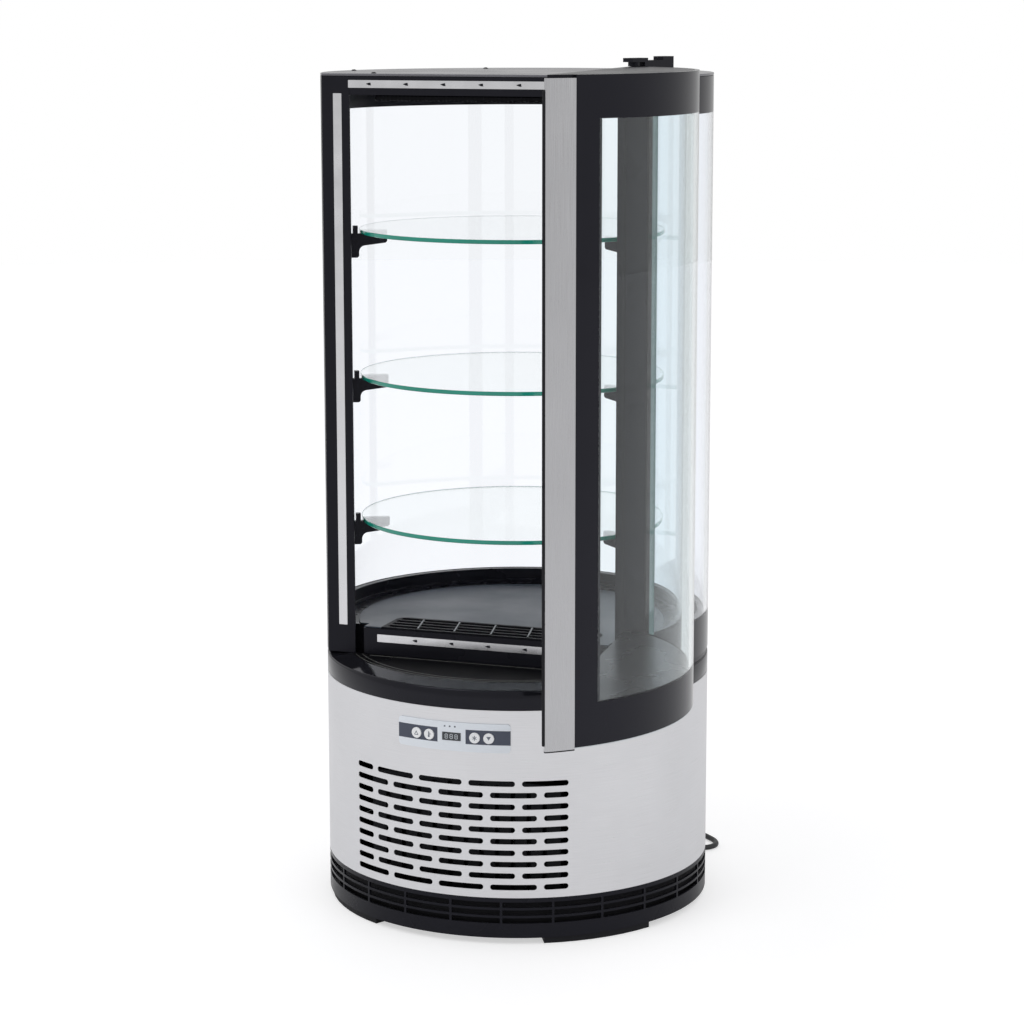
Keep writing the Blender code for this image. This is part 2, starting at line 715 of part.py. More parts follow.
def make_shell():
    inner = BODY_RADIUS - SHELL_THICKNESS
    profile = [(BODY_RADIUS, SHELL_TOP), (BODY_RADIUS, SHELL_BOTTOM),
               (inner, SHELL_BOTTOM), (inner, SHELL_TOP)]
    shell = link_part("drum_shell", turned_mesh(profile, BODY_STEPS), "steel")
    window = wall_opening(FASCIA_WINDOW_HALF_WIDTH, FASCIA_WINDOW_HEIGHT, FASCIA_CORNER,
                          FASCIA_SHIFT / BODY_RADIUS, FASCIA_MIDDLE)
    rear = wall_opening(REAR_PANEL_HALF_ARC, REAR_PANEL_HEIGHT, REAR_PANEL_CORNER, math.pi,
                        rear_panel_level())
    gland = place_on_wall(rod_mesh(GLAND_NECK_RADIUS + GAP, 2 * OVERRUN, PLUG_STEPS), GLAND_ANGLE,
                          BODY_RADIUS - OVERRUN, GLAND_HEIGHT)
    shape(shell, combine(vent_slots() + [window, rear, gland]), "DIFFERENCE")


def rear_panel_level():
    return SHELL_BOTTOM + REAR_PANEL_LIFT + REAR_PANEL_HEIGHT / 2


def make_rear_panel():
    """A flush panel in the shell's rear opening, with a lip that bears on the shell's inside."""
    level = rear_panel_level()
    outer = BODY_RADIUS
    inner = BODY_RADIUS - SHELL_THICKNESS
    lip = inner - GAP - SHELL_THICKNESS
    top = level + REAR_PANEL_HEIGHT
    low = level - REAR_PANEL_HEIGHT
    skin = turned_mesh([(outer, top), (outer, low), (lip, low), (lip, top)], BODY_STEPS)
    panel = link_part("rear_panel", skin, "steel")
    shape(panel, wall_opening(REAR_PANEL_HALF_ARC + REAR_PANEL_LIP, REAR_PANEL_HEIGHT + 2 * REAR_PANEL_LIP,
                              REAR_PANEL_CORNER, math.pi, level), "INTERSECT")
    outside = outer + OVERRUN
    seat = inner - GAP
    band = turned_mesh([(outside, top), (outside, low), (seat, low), (seat, top)], BODY_STEPS)
    rebate = link_cutter("rear_panel_rebate", band)
    shape(rebate, wall_opening(REAR_PANEL_HALF_ARC - GAP, REAR_PANEL_HEIGHT - 2 * GAP, REAR_PANEL_CORNER,
                               math.pi, level), "DIFFERENCE")
    step = panel.modifiers.new("rebate", "BOOLEAN")
    step.operation = "DIFFERENCE"
    step.object = rebate
    holes = [wall_slot(REAR_VENT_LENGTH, VENT_HEIGHT, math.pi,
                       level + (row - (REAR_VENT_ROWS - 1) / 2) * REAR_VENT_PITCH, SHELL_THICKNESS)
             for row in range(REAR_VENT_ROWS)]
    shape(panel, combine(holes), "DIFFERENCE")


def button_places():
    """Names of the buttons and their places along the wall, right of the front axis."""
    return (("button_up", FASCIA_SHIFT - BUTTON_OUTER_ARC),
            ("button_set", FASCIA_SHIFT - BUTTON_INNER_ARC),
            ("button_defrost", FASCIA_SHIFT + BUTTON_INNER_ARC),
            ("button_down", FASCIA_SHIFT + BUTTON_OUTER_ARC))


def make_controls():
    top = FASCIA_BOTTOM + FASCIA_HEIGHT
    profile = [(FASCIA_OUTER, top + OVERRUN), (FASCIA_OUTER, FASCIA_BOTTOM - OVERRUN),
               (FASCIA_INNER, FASCIA_BOTTOM - OVERRUN), (FASCIA_INNER, top + OVERRUN)]
    fascia = link_part("control_fascia", turned_mesh(profile, BODY_STEPS), "grey_panel")
    turn = FASCIA_SHIFT / BODY_RADIUS
    edge = wall_opening(FASCIA_HALF_ARC, FASCIA_HEIGHT, FASCIA_CORNER, turn, FASCIA_MIDDLE)
    shape(fascia, edge, "INTERSECT")
    front = FASCIA_OUTER + DISPLAY_PROUD
    half = (DISPLAY_WIDTH / 2, DISPLAY_HEIGHT / 2)
    swing = Matrix.Rotation(turn, 4, "Z")
    hole = box_mesh((-half[0] - GAP, -front - OVERRUN, FASCIA_MIDDLE - half[1] - GAP),
                    (half[0] + GAP, -front + OVERRUN, FASCIA_MIDDLE + half[1] + GAP))
    hole.transform(swing)
    holes = [hole]
    for name, place in button_places():
        angle = place / BODY_RADIUS
        holes.append(place_on_wall(rod_mesh(BUTTON_RADIUS + GAP, 2 * OVERRUN, BUTTON_STEPS), angle,
                                   BODY_RADIUS - OVERRUN, FASCIA_MIDDLE))
        base = FASCIA_OUTER + BUTTON_PROUD - BUTTON_LENGTH
        button = link_part(name, rod_mesh(BUTTON_RADIUS, BUTTON_LENGTH, BUTTON_STEPS), "white_button")
        button.rotation_euler = (math.radians(90), 0, angle)
        button.location = (base * math.sin(angle), -base * math.cos(angle), FASCIA_MIDDLE)
        bevel(button, BUTTON_PROUD / 2)
    shape(fascia, combine(holes), "DIFFERENCE")
    display = box_mesh((-half[0], -front, FASCIA_MIDDLE - half[1]),
                       (half[0], -front + DISPLAY_DEPTH, FASCIA_MIDDLE + half[1]))
    display.transform(swing)
    link_part("display", display, "dark_display")
    back = front - DISPLAY_DEPTH - GAP
    front_face = CONTROLLER_SETBACK - back
    low = FASCIA_MIDDLE - CONTROLLER_HEIGHT / 2
    body = box_mesh((-CONTROLLER_WIDTH / 2, front_face, low),
                    (CONTROLLER_WIDTH / 2, front_face + CONTROLLER_DEPTH, low + CONTROLLER_HEIGHT))
    body.transform(swing)
    controller = link_part("controller_box", body, "black_plastic")
    tower = box_mesh((-half[0], -back, FASCIA_MIDDLE - half[1]),
                     (half[0], -back + CONTROLLER_SETBACK + OVERRUN, FASCIA_MIDDLE + half[1]))
    tower.transform(swing)
    shape(controller, tower, "UNION")


def shoulder_height(radius):
    """Height of the collar's sloping shoulder at a radius."""
    if radius <= LEDGE_RADIUS:
        return LEDGE_HEIGHT
    share = (radius - LEDGE_RADIUS) / (BODY_RADIUS - COLLAR_EDGE - LEDGE_RADIUS)
    return LEDGE_HEIGHT - share * (LEDGE_HEIGHT - COLLAR_WALL_TOP - COLLAR_EDGE)


def case_outline(radius, front, half_width=None, corner_depth=0):
    """The round plan cut by the opening plane, with optional narrower front corners."""
    if half_width is None:
        turn = angle_at_plane(radius, front)
        return arc(radius, turn, math.tau - turn, CUT_ROUND_STEPS)
    turn = angle_at_plane(radius, corner_depth)
    back = arc(radius, turn, math.tau - turn, CUT_ROUND_STEPS)
    return [(-half_width, STEP_CORNER_RELIEF - corner_depth), (-half_width, -front), (half_width, -front),
            (half_width, STEP_CORNER_RELIEF - corner_depth)] + back


def make_collar():
    wall_inner = BODY_RADIUS - COLLAR_WALL
    under = LEDGE_HEIGHT - COLLAR_PLATE
    under_wall = COLLAR_WALL_TOP - COLLAR_PLATE
    profile = [
        (0, LEDGE_HEIGHT), (LEDGE_RADIUS, LEDGE_HEIGHT),
        (BODY_RADIUS - COLLAR_EDGE, COLLAR_WALL_TOP + COLLAR_EDGE), (BODY_RADIUS, COLLAR_WALL_TOP),
        (BODY_RADIUS, COLLAR_BOTTOM), (wall_inner, COLLAR_BOTTOM), (wall_inner, under_wall),
        (LEDGE_RADIUS, under), (0, under)]
    collar = link_part("collar", turned_mesh(profile, BODY_STEPS), "black_plastic")
    hole = case_outline(COLLAR_HOLE_RADIUS, OPENING_PLANE - TUB_FRONT_INSET + COLLAR_HOLE_CLEARANCE)
    shape(collar, plate_mesh([hole], under - OVERRUN, LEDGE_HEIGHT + OVERRUN), "DIFFERENCE")


def make_deck():
    seat = LEDGE_HEIGHT + GAP
    top = case_outline(HOUSING_RADIUS, OPENING_PLANE, STEP_HALF_WIDTH, POST_BACK - GAP)
    housing = link_part("deck_housing", plate_mesh([top], seat, DECK_SEAT), "black_plastic")
    corner = POST_BACK - GAP
    tub_front = OPENING_PLANE - TUB_FRONT_INSET
    tub_side = STEP_HALF_WIDTH - TUB_FRONT_INSET
    tub = case_outline(TUB_RADIUS, tub_front, tub_side, corner)
    shape(housing, plate_mesh([tub], TUB_BOTTOM, seat + OVERRUN), "UNION")
    well = case_outline(TUB_RADIUS - TUB_WALL, tub_front - TUB_WALL, tub_side - TUB_WALL, corner - TUB_WALL)
    shape(housing, plate_mesh([well], TUB_BOTTOM + TUB_FLOOR, DECK_TOP), "DIFFERENCE")
    groove = strip_box(BOTTOM_STRIP_HALF_LENGTH, BOTTOM_STRIP_BOTTOM, BOTTOM_STRIP_WIDTH, GAP)
    shape(housing, groove, "DIFFERENCE")
    front = OPENING_PLANE - DECK_FRONT_MARGIN
    hole = grille_outline(GRILLE_HALF_WIDTH, OPENING_PLANE + OVERRUN, OPENING_PLANE - GRILLE_DEPTH,
                          GRILLE_END_RADIUS)
    plate = plate_mesh([case_outline(DECK_PLATE_RADIUS, front, STEP_HALF_WIDTH, POST_BACK)],
                       DECK_TOP - DECK_PLATE_THICKNESS, DECK_TOP)
    deck = link_part("deck_plate", plate, "deck_paint")
    shape(deck, plate_mesh([hole], DECK_TOP - OVERRUN, DECK_TOP + OVERRUN), "DIFFERENCE")
    make_grille()


def grille_outline(half_width, front, back, corner):
    """A rectangle whose two rear corners are rounded."""
    points = [(-half_width, -front), (half_width, -front)]
    for side in (1, -1):
        turns = [math.radians(90) * i / GRILLE_END_STEPS for i in range(GRILLE_END_STEPS + 1)]
        bend = [(side * (half_width - corner * (1 - math.cos(turn))), -back - corner * (1 - math.sin(turn)))
                for turn in turns]
        points += bend if side > 0 else bend[::-1]
    return points


def make_grille():
    """Grille with long bars and a few slanting cross ribs, let into the deck plate."""
    front = OPENING_PLANE - GAP
    back = OPENING_PLANE - GRILLE_DEPTH + GAP
    width = 2 * (GRILLE_HALF_WIDTH - GAP)
    depth = front - back
    middle = (front + back) / 2
    edge = grille_outline(width / 2, front, back, GRILLE_END_RADIUS - GAP)
    low_side = DECK_SEAT + GAP
    high = DECK_TOP + GRILLE_PROUD
    grille = link_part("deck_grille", plate_mesh([edge], low_side, high), "black_plastic")
    slot_depth = (depth - 2 * GRILLE_BORDER - (GRILLE_BARS - 1) * GRILLE_BAR_WIDTH) / GRILLE_BARS
    limit = width / 2 - 2 * GRILLE_BORDER
    lean = math.tan(GRILLE_SLANT)
    slots = []
    for row in range(GRILLE_BARS):
        low = -middle - depth / 2 + GRILLE_BORDER + row * (slot_depth + GRILLE_BAR_WIDTH)
        for column in range(GRILLE_CROSS_RIBS + 1):
            left = (column - (GRILLE_CROSS_RIBS + 1) / 2) * GRILLE_RIB_PITCH + GRILLE_CROSS_WIDTH / 2
            right = left + GRILLE_RIB_PITCH - GRILLE_CROSS_WIDTH
            corners = [(left, low), (right, low), (right, low + slot_depth), (left, low + slot_depth)]
            inside = [(min(max(x + (y + middle) * lean, -limit), limit), y) for x, y in corners]
            slots.append(plate_mesh([inside], low_side - OVERRUN, high + OVERRUN))
    shape(grille, combine(slots), "DIFFERENCE")


def strip_box(half_length, low, width, grow):
    """Space of a level catch strip; grow widens it to make its groove."""
    front = OPENING_PLANE + STRIP_PROUD + (OVERRUN if grow else 0)
    back = OPENING_PLANE + STRIP_PROUD - STRIP_THICKNESS - grow
    return box_mesh((-half_length - grow, -front, low - grow),
                    (half_length + grow, -back, low + width + grow))


def left_strip_box(grow):
    front = OPENING_PLANE + STRIP_PROUD + (OVERRUN if grow else 0)
    back = OPENING_PLANE + STRIP_PROUD - STRIP_THICKNESS - grow
    left = -LEFT_STRIP_CENTRE - LEFT_STRIP_WIDTH / 2 - grow
    right = -LEFT_STRIP_CENTRE + LEFT_STRIP_WIDTH / 2 + grow
    return box_mesh((left, -front, LEFT_STRIP_BOTTOM - grow), (right, -back, LEFT_STRIP_TOP + grow))


def post_inner_edge(side):
    """How far a post's inner edge stands from the middle; the left post is a little narrower."""
    return POST_INNER + (LEFT_POST_RECESS if side < 0 else 0)


def header_outline():
    """The header fills the space between the posts and widens behind their slanted sides."""
    right = post_inner_edge(1) - GAP
    left = GAP - post_inner_edge(-1)
    lip = -OPENING_PLANE + POST_LIP
    return [
        (left, -OPENING_PLANE), (right, -OPENING_PLANE), (right, lip),
        (right + POST_SLANT - GAP, -POST_BACK), (left - POST_SLANT + GAP, -POST_BACK), (left, lip)]


def make_frame():
    seat = LEDGE_HEIGHT + GAP
    outer = arc(BODY_RADIUS, angle_at_plane(BODY_RADIUS, OPENING_PLANE),
                angle_at_plane(BODY_RADIUS, POST_BACK), 1)
    for name, side in (("post_left", -1), ("post_right", 1)):
        inner = post_inner_edge(side)
        outline = [
            (inner + POST_SLANT, -POST_BACK), (inner, -OPENING_PLANE + POST_LIP), (inner, -OPENING_PLANE)]
        outline = [(side * x, y) for x, y in outline + outer]
        post = link_part(name, plate_mesh([outline], seat, FRAME_TOP), "black_paint")
        grooves = [strip_box(TOP_STRIP_HALF_LENGTH, TOP_STRIP_BOTTOM, TOP_STRIP_WIDTH, GAP)]
        if side < 0:
            grooves.append(left_strip_box(GAP))
        shape(post, combine(grooves), "DIFFERENCE")
    header = plate_mesh([header_outline()], HEADER_BOTTOM, FRAME_TOP)
    shape(link_part("header", header, "black_paint"),
          strip_box(TOP_STRIP_HALF_LENGTH, TOP_STRIP_BOTTOM, TOP_STRIP_WIDTH, GAP), "DIFFERENCE")
    link_part("catch_strip_left", left_strip_box(0), "bright_steel")
    link_part("catch_strip_top", strip_box(TOP_STRIP_HALF_LENGTH, TOP_STRIP_BOTTOM, TOP_STRIP_WIDTH, 0),
              "bright_steel")
    bottom = strip_box(BOTTOM_STRIP_HALF_LENGTH, BOTTOM_STRIP_BOTTOM, BOTTOM_STRIP_WIDTH, 0)
    link_part("catch_strip_bottom", bottom, "bright_steel")


def front_space():
    """Everything ahead of the posts' back faces, which the rings leave free."""
    reach = 2 * BODY_RADIUS
    return box_mesh((-reach, -reach, 0), (reach, -POST_BACK + GAP, 2 * FRAME_TOP))


def make_rings():
    ledge = RING_OUTER + RING_LEDGE
    seat = GLASS_BOTTOM - GAP
    lower = [
        (RING_OUTER, LOWER_RING_TOP), (RING_OUTER, seat), (ledge, seat),
        (ledge, shoulder_height(ledge) + GAP),
        (RING_INNER, shoulder_height(RING_INNER) + GAP), (RING_INNER, LOWER_RING_STEP),
        (RING_UPPER_INNER, LOWER_RING_STEP), (RING_UPPER_INNER, LOWER_RING_TOP)]
    ring = link_part("lower_ring", turned_mesh(lower, BODY_STEPS), "black_plastic")
    shape(ring, front_space(), "DIFFERENCE")
    plate_top = HEADER_BOTTOM + CEILING_THICKNESS
    upper = [
        (0, plate_top), (RING_INNER, plate_top), (RING_INNER, FRAME_TOP), (RING_OUTER, FRAME_TOP),
        (RING_OUTER, UPPER_RING_BOTTOM), (RING_UPPER_INNER, UPPER_RING_BOTTOM),
        (RING_UPPER_INNER, HEADER_BOTTOM), (0, HEADER_BOTTOM)]
    ceiling = link_part("ceiling", turned_mesh(upper, BODY_STEPS), "black_plastic")
    shape(ceiling, front_space(), "DIFFERENCE")
    edge = POST_BACK - GAP
    outer_turn = angle_at_plane(BODY_RADIUS, edge)
    inner_turn = angle_at_plane(GLASS_INNER, edge)
    outline = arc(BODY_RADIUS, outer_turn, math.tau - outer_turn, CUT_ROUND_STEPS)
    outline += arc(GLASS_INNER, math.tau - inner_turn, inner_turn, CUT_ROUND_STEPS)
    link_part("fixed_glass", plate_mesh([outline], GLASS_BOTTOM, FRAME_TOP), "glass")
    cover = plate_mesh([case_outline(BODY_RADIUS, OPENING_PLANE)], TOP_COVER_BOTTOM, CASE_TOP)
    link_part("top_cover", cover, "black_paint")
    lamp_front = OPENING_PLANE - LAMP_SETBACK
    lamp = box_mesh((-LAMP_HALF_LENGTH, -lamp_front, HEADER_BOTTOM - GAP - LAMP_HEIGHT),
                    (LAMP_HALF_LENGTH, -lamp_front + LAMP_DEPTH, HEADER_BOTTOM - GAP))
    bevel(link_part("led_lamp", lamp, "lamp"), LAMP_EDGE)


def bracket_outline():
    """Side view of a bracket from the post inwards: a block, an arm and a tab that stops the shelf."""
    arm_start = BRACKET_BLOCK_LENGTH + BRACKET_FILLET
    turns = [math.radians(90) * i / BRACKET_FILLET_STEPS for i in range(BRACKET_FILLET_STEPS + 1)]
    fillet = [
        (arm_start - BRACKET_FILLET * math.cos(turn),
         BRACKET_FILLET * math.sin(turn) - BRACKET_FILLET - BRACKET_ARM_ROOT_DROP) for turn in turns]
    return [
        (-OVERRUN, -BRACKET_BLOCK_DROP), (BRACKET_BLOCK_LENGTH - BRACKET_CORNER, -BRACKET_BLOCK_DROP),
        (BRACKET_BLOCK_LENGTH, BRACKET_CORNER - BRACKET_BLOCK_DROP)] + fillet + [
        (BRACKET_ARM_LENGTH - BRACKET_CORNER, -BRACKET_ARM_TIP_DROP),
        (BRACKET_ARM_LENGTH, BRACKET_CORNER - BRACKET_ARM_TIP_DROP), (BRACKET_ARM_LENGTH, 0),
        (BRACKET_TAB_END, 0), (BRACKET_TAB_END, BRACKET_TAB_HEIGHT),
        (BRACKET_TAB_START, BRACKET_TAB_HEIGHT), (BRACKET_TAB_START, 0), (-OVERRUN, 0)]


def make_shelves():
    disc = [(0, SHELF_THICKNESS), (SHELF_RADIUS, SHELF_THICKNESS), (SHELF_RADIUS, 0), (0, 0)]
    for name, top in zip(SHELF_NAMES, SHELF_TOPS):
        shelf = link_part("shelf_" + name, turned_mesh(disc, BODY_STEPS), "glass")
        shelf.location.z = top - SHELF_THICKNESS
        for side_name, side in (("left", -1), ("right", 1)):
            make_bracket("bracket_%s_%s" % (side_name, name), side, top - SHELF_THICKNESS - GAP)
    make_rear_post()


def make_bracket(name, side, level):
    """The bracket points to the case's axis and is cut off by the back of its post."""
    mesh = plate_mesh([bracket_outline()], -BRACKET_WIDTH / 2, BRACKET_WIDTH / 2)
    stand = Matrix.Rotation(math.radians(90), 4, "X")
    turn = Matrix.Rotation(BRACKET_ANGLE, 4, "Z")
    root = Matrix.Translation((-POST_BACK / math.tan(BRACKET_ANGLE), -POST_BACK, level))
    mesh.transform(root @ turn @ stand)
    if side > 0:
        mesh.transform(Matrix.Diagonal((-1, 1, 1, 1)))
        mesh.flip_normals()
    shape(link_part(name, mesh, "black_plastic"), front_space(), "DIFFERENCE")


def make_rear_post():
    """A slim upright at the back with an arm under each shelf."""
    back = HOUSING_RADIUS - 2 * GAP
    front = back - REAR_POST_DEPTH
    upright_box = box_mesh((-REAR_POST_HALF_WIDTH, front, DECK_SEAT + GAP),
                           (REAR_POST_HALF_WIDTH, back, HEADER_BOTTOM - GAP))
    post = link_part("rear_post", upright_box, "black_plastic")
    arms = []
    for top in SHELF_TOPS:
        level = top - SHELF_THICKNESS - GAP
        side_view = [(-REAR_POST_DEPTH / 2, -REAR_ARM_DROP), (REAR_ARM_REACH, -REAR_ARM_TIP_DROP),
                     (REAR_ARM_REACH, 0), (-REAR_POST_DEPTH / 2, 0)]
        arm = plate_mesh([side_view], -REAR_POST_HALF_WIDTH / 2, REAR_POST_HALF_WIDTH / 2)
        arm.transform(Matrix.Translation((0, front, level)) @ Matrix.Rotation(math.radians(-90), 4, "Z")
                      @ Matrix.Rotation(math.radians(90), 4, "X"))
        arms.append(arm)
    shape(post, combine(arms), "UNION")


def door_part(name, mesh, finish):
    """A piece of the door, given in its closed place and hung on the hinge axis."""
    mesh.transform(Matrix.Translation(-HINGE))
    item = link_part(name, mesh, finish)
    item.parent = DOOR
    return item


def pin_bore(low, high):
    rod = rod_mesh(PIN_RADIUS + PIN_CLEARANCE, high - low, PIN_STEPS)
    rod.transform(Matrix.Translation((0, 0, low)))
    return rod


def rail_outline():
    """The D shape behind the door glass, square at the hinge end."""
    left = angle_at_plane(RAIL_RADIUS, DOOR_PLANE)
    right = angle_at_side(RAIL_RADIUS, HINGE_END)
    return arc(RAIL_RADIUS, -left, right, DOOR_ARC_STEPS) + [(HINGE_END, -DOOR_PLANE)]


def make_door():
    right = angle_at_side(BODY_RADIUS, HINGE_END)
    right_inner = angle_at_side(GLASS_INNER, HINGE_END)
    start = -HANDLE_END_ANGLE + GAP / BODY_RADIUS
    glass = arc(BODY_RADIUS, start, right, DOOR_ARC_STEPS)
    glass += arc(GLASS_INNER, right_inner, start, DOOR_ARC_STEPS)
    door_part("door_glass", plate_mesh([glass], DOOR_BOTTOM, DOOR_TOP), "glass")
    skin = BODY_RADIUS - HANDLE_THICKNESS
    handle = arc(BODY_RADIUS, -angle_at_plane(BODY_RADIUS, DOOR_PLANE), -HANDLE_END_ANGLE, HANDLE_STEPS)
    handle += arc(skin, -HANDLE_END_ANGLE, -angle_at_plane(skin, DOOR_PLANE), HANDLE_STEPS)
    handle_mesh = plate_mesh([handle], DOOR_BOTTOM - HANDLE_BOTTOM_DROP, DOOR_TOP - HANDLE_TOP_DROP)
    door_part("door_handle", handle_mesh, "steel")
    pin_low = DOOR_BOTTOM - OVERRUN
    lower_rail = plate_mesh([rail_outline()], DOOR_BOTTOM, DOOR_BOTTOM + BOTTOM_RAIL_HEIGHT)
    bottom = door_part("door_rail_bottom", lower_rail, "black_plastic")
    shape(bottom, pin_bore(pin_low, DOOR_BOTTOM + PIN_DEPTH + GAP), "DIFFERENCE")
    top = door_part("door_rail_top", plate_mesh([rail_outline()], DOOR_TOP - TOP_RAIL_HEIGHT, DOOR_TOP),
                    "black_plastic")
    shape(top, pin_bore(DOOR_TOP - PIN_DEPTH - GAP, DOOR_TOP + OVERRUN), "DIFFERENCE")
    for item in (bottom, top):
        CUTTERS.objects[item.name + "_difference"].parent = DOOR
    back = RAIL_RADIUS - STILE_DEPTH
    stile = arc(RAIL_RADIUS, -angle_at_plane(RAIL_RADIUS, DOOR_PLANE), -STILE_END_ANGLE, HANDLE_STEPS)
    stile += arc(back, -STILE_END_ANGLE, -angle_at_plane(back, DOOR_PLANE), HANDLE_STEPS)
    door_part("door_stile", plate_mesh([stile], DOOR_INNER_BOTTOM, DOOR_INNER_TOP), "black_plastic")
    hinge_side = arc(RAIL_RADIUS, angle_at_side(RAIL_RADIUS, HINGE_STILE_START),
                     angle_at_side(RAIL_RADIUS, HINGE_END), 2)
    hinge_side += [(HINGE_END, -DOOR_PLANE), (HINGE_STILE_START, -DOOR_PLANE)]
    hinge_stile = plate_mesh([hinge_side], DOOR_INNER_BOTTOM, DOOR_INNER_TOP)
    door_part("door_hinge_stile", hinge_stile, "black_plastic")
    make_gasket()


def make_gasket():
    low = DOOR_BOTTOM + GASKET_BOTTOM_INSET
    high = DOOR_TOP - GASKET_TOP_INSET
    outer = [(-GASKET_LEFT, low), (GASKET_RIGHT, low), (GASKET_RIGHT, high), (-GASKET_LEFT, high)]
    left = GASKET_WIDTH - GASKET_LEFT
    right = GASKET_RIGHT - GASKET_WIDTH / 2
    inner = [(left, low + GASKET_WIDTH), (right, low + GASKET_WIDTH), (right, high - GASKET_WIDTH),
             (left, high - GASKET_WIDTH)]
    frame = upright(plate_mesh([outer, inner], 0, GASKET_THICKNESS), DOOR_PLANE - GAP - GASKET_THICKNESS)
    door_part("door_gasket", frame, "rubber")


def make_hinges():
    low = LEDGE_HEIGHT + GAP
    high = low + BOTTOM_BRACKET_THICKNESS
    outline = [(BOTTOM_BRACKET_START, -OPENING_PLANE - GAP - 2 * BOTTOM_BRACKET_HALF_WIDTH),
               (HINGE_X, -OPENING_PLANE - GAP - 2 * BOTTOM_BRACKET_HALF_WIDTH),
               (HINGE_X + BOTTOM_BRACKET_HALF_WIDTH, HINGE_Y - BOTTOM_BRACKET_HALF_WIDTH / 2),
               (HINGE_X + BOTTOM_BRACKET_HALF_WIDTH, -OPENING_PLANE - GAP),
               (BOTTOM_BRACKET_START, -OPENING_PLANE - GAP)]
    bracket = link_part("hinge_bracket_bottom", plate_mesh([outline], low, high), "black_paint")
    collar = [(0, DOOR_BOTTOM + PIN_DEPTH - GAP), (PIN_RADIUS, DOOR_BOTTOM + PIN_DEPTH - GAP),
              (PIN_RADIUS, DOOR_BOTTOM - GAP), (SHOULDER_RADIUS, DOOR_BOTTOM - GAP),
              (SHOULDER_RADIUS, low + GAP), (0, low + GAP)]
    pin = turned_mesh(collar, PIN_STEPS)
    pin.transform(Matrix.Translation(HINGE))
    shape(bracket, pin, "UNION")
    make_top_bracket()


def make_top_bracket():
    """A block on the cover, an arm over the door's hinge end with its boss and pin, and a cap."""
    seat = CASE_TOP + GAP
    arm_low = DOOR_TOP + TOP_BRACKET_ARM_CLEARANCE
    arm_high = arm_low + TOP_BRACKET_ARM_THICKNESS
    half = TOP_BRACKET_HALF_WIDTH
    start = TOP_BRACKET_BASE_START
    end = start + TOP_BRACKET_BASE_LENGTH
    reach = TOP_BRACKET_ARM_REACH
    middle = arm_high - TOP_BRACKET_MIDDLE_DROP
    cap = arm_high + TOP_BRACKET_CAP_RISE
    side_view = [(start, seat), (end, seat), (end, cap), (end - TOP_BRACKET_CAP_LENGTH, cap),
                 (end - TOP_BRACKET_CAP_LENGTH, middle), (start + TOP_BRACKET_RISER, middle),
                 (start + TOP_BRACKET_RISER, arm_high), (-reach, arm_high), (-reach, arm_low),
                 (start, arm_low)]
    body = upright(plate_mesh([side_view], -half, half), 0)
    bracket = link_part("hinge_bracket_top", body, "black_paint")
    boss_low = DOOR_TOP + GAP
    inside = (arm_low + arm_high) / 2
    turned = [(0, inside), (half - GAP, inside), (half - GAP, boss_low), (PIN_RADIUS, boss_low),
              (PIN_RADIUS, DOOR_TOP - PIN_DEPTH + GAP), (0, DOOR_TOP - PIN_DEPTH + GAP)]
    tool = link_cutter("hinge_bracket_top_pin", turned_mesh(turned, PIN_STEPS))
    step = bracket.modifiers.new("pin", "BOOLEAN")
    step.operation = "UNION"
    step.object = tool
    for item in (bracket, tool):
        item.location = HINGE
        item.rotation_euler.z = TOP_BRACKET_ANGLE


def fan_mesh(radius, hub_radius, hub_length, blade_width, bore):
    """A fan wheel about the origin, turning about Y: hub with twisted flat blades."""
    profile = [(hub_radius, hub_length / 2), (hub_radius, -hub_length / 2), (bore, -hub_length / 2),
               (bore, hub_length / 2)]
    hub = turned_mesh(profile, PLUG_STEPS)
    blades = []
    root = (hub_radius + bore) / 2
    for index in range(FAN_BLADES):
        blade = box_mesh((root, -blade_width / 2, -BLADE_THICKNESS / 2),
                         (radius, blade_width / 2, BLADE_THICKNESS / 2))
        turn = Matrix.Rotation(math.tau * index / FAN_BLADES, 4, "Z")
        blade.transform(turn @ Matrix.Rotation(BLADE_PITCH, 4, "X"))
        blades.append(blade)
    return hub, combine(blades)


def make_fan(name, radius, hub_radius, hub_length, blade_width, place):
    hub, blades = fan_mesh(radius, hub_radius, hub_length, blade_width, SHAFT_RADIUS + GAP)
    fan = link_part(name, hub, "black_plastic")
    shape(fan, blades, "UNION")
    for item in (fan, CUTTERS.objects[name + "_union"]):
        item.rotation_euler.x = math.radians(90)
        item.location = place


def finned_block(name, low, high, grooves):
    """A heat exchanger: a block with grooves between its fins, front and back."""
    block = link_part(name, box_mesh(low, high), "aluminium")
    pitch = (high[0] - low[0]) / (grooves + 1)
    cuts = []
    for index in range(grooves):
        x = low[0] + pitch * (index + 1)
        for edge in (low[1], high[1]):
            start = (x - FIN_GROOVE_WIDTH / 2, edge - FIN_GROOVE_DEPTH, low[2] + FIN_GROOVE_WIDTH)
            end = (x + FIN_GROOVE_WIDTH / 2, edge + FIN_GROOVE_DEPTH, high[2] - FIN_GROOVE_WIDTH)
            cuts.append(box_mesh(start, end))
    shape(block, combine(cuts), "DIFFERENCE")
    return block


def motor_mesh(radius, length, shaft_length):
    """A fan motor along +Y whose shaft points to -Y; the shaft starts at the origin."""
    profile = [(0, 0), (SHAFT_RADIUS, 0), (SHAFT_RADIUS, -shaft_length), (radius, -shaft_length),
               (radius, -shaft_length - length), (0, -shaft_length - length)]
    mesh = turned_mesh(profile, PLUG_STEPS)
    mesh.transform(Matrix.Rotation(math.radians(90), 4, "X"))
    return mesh


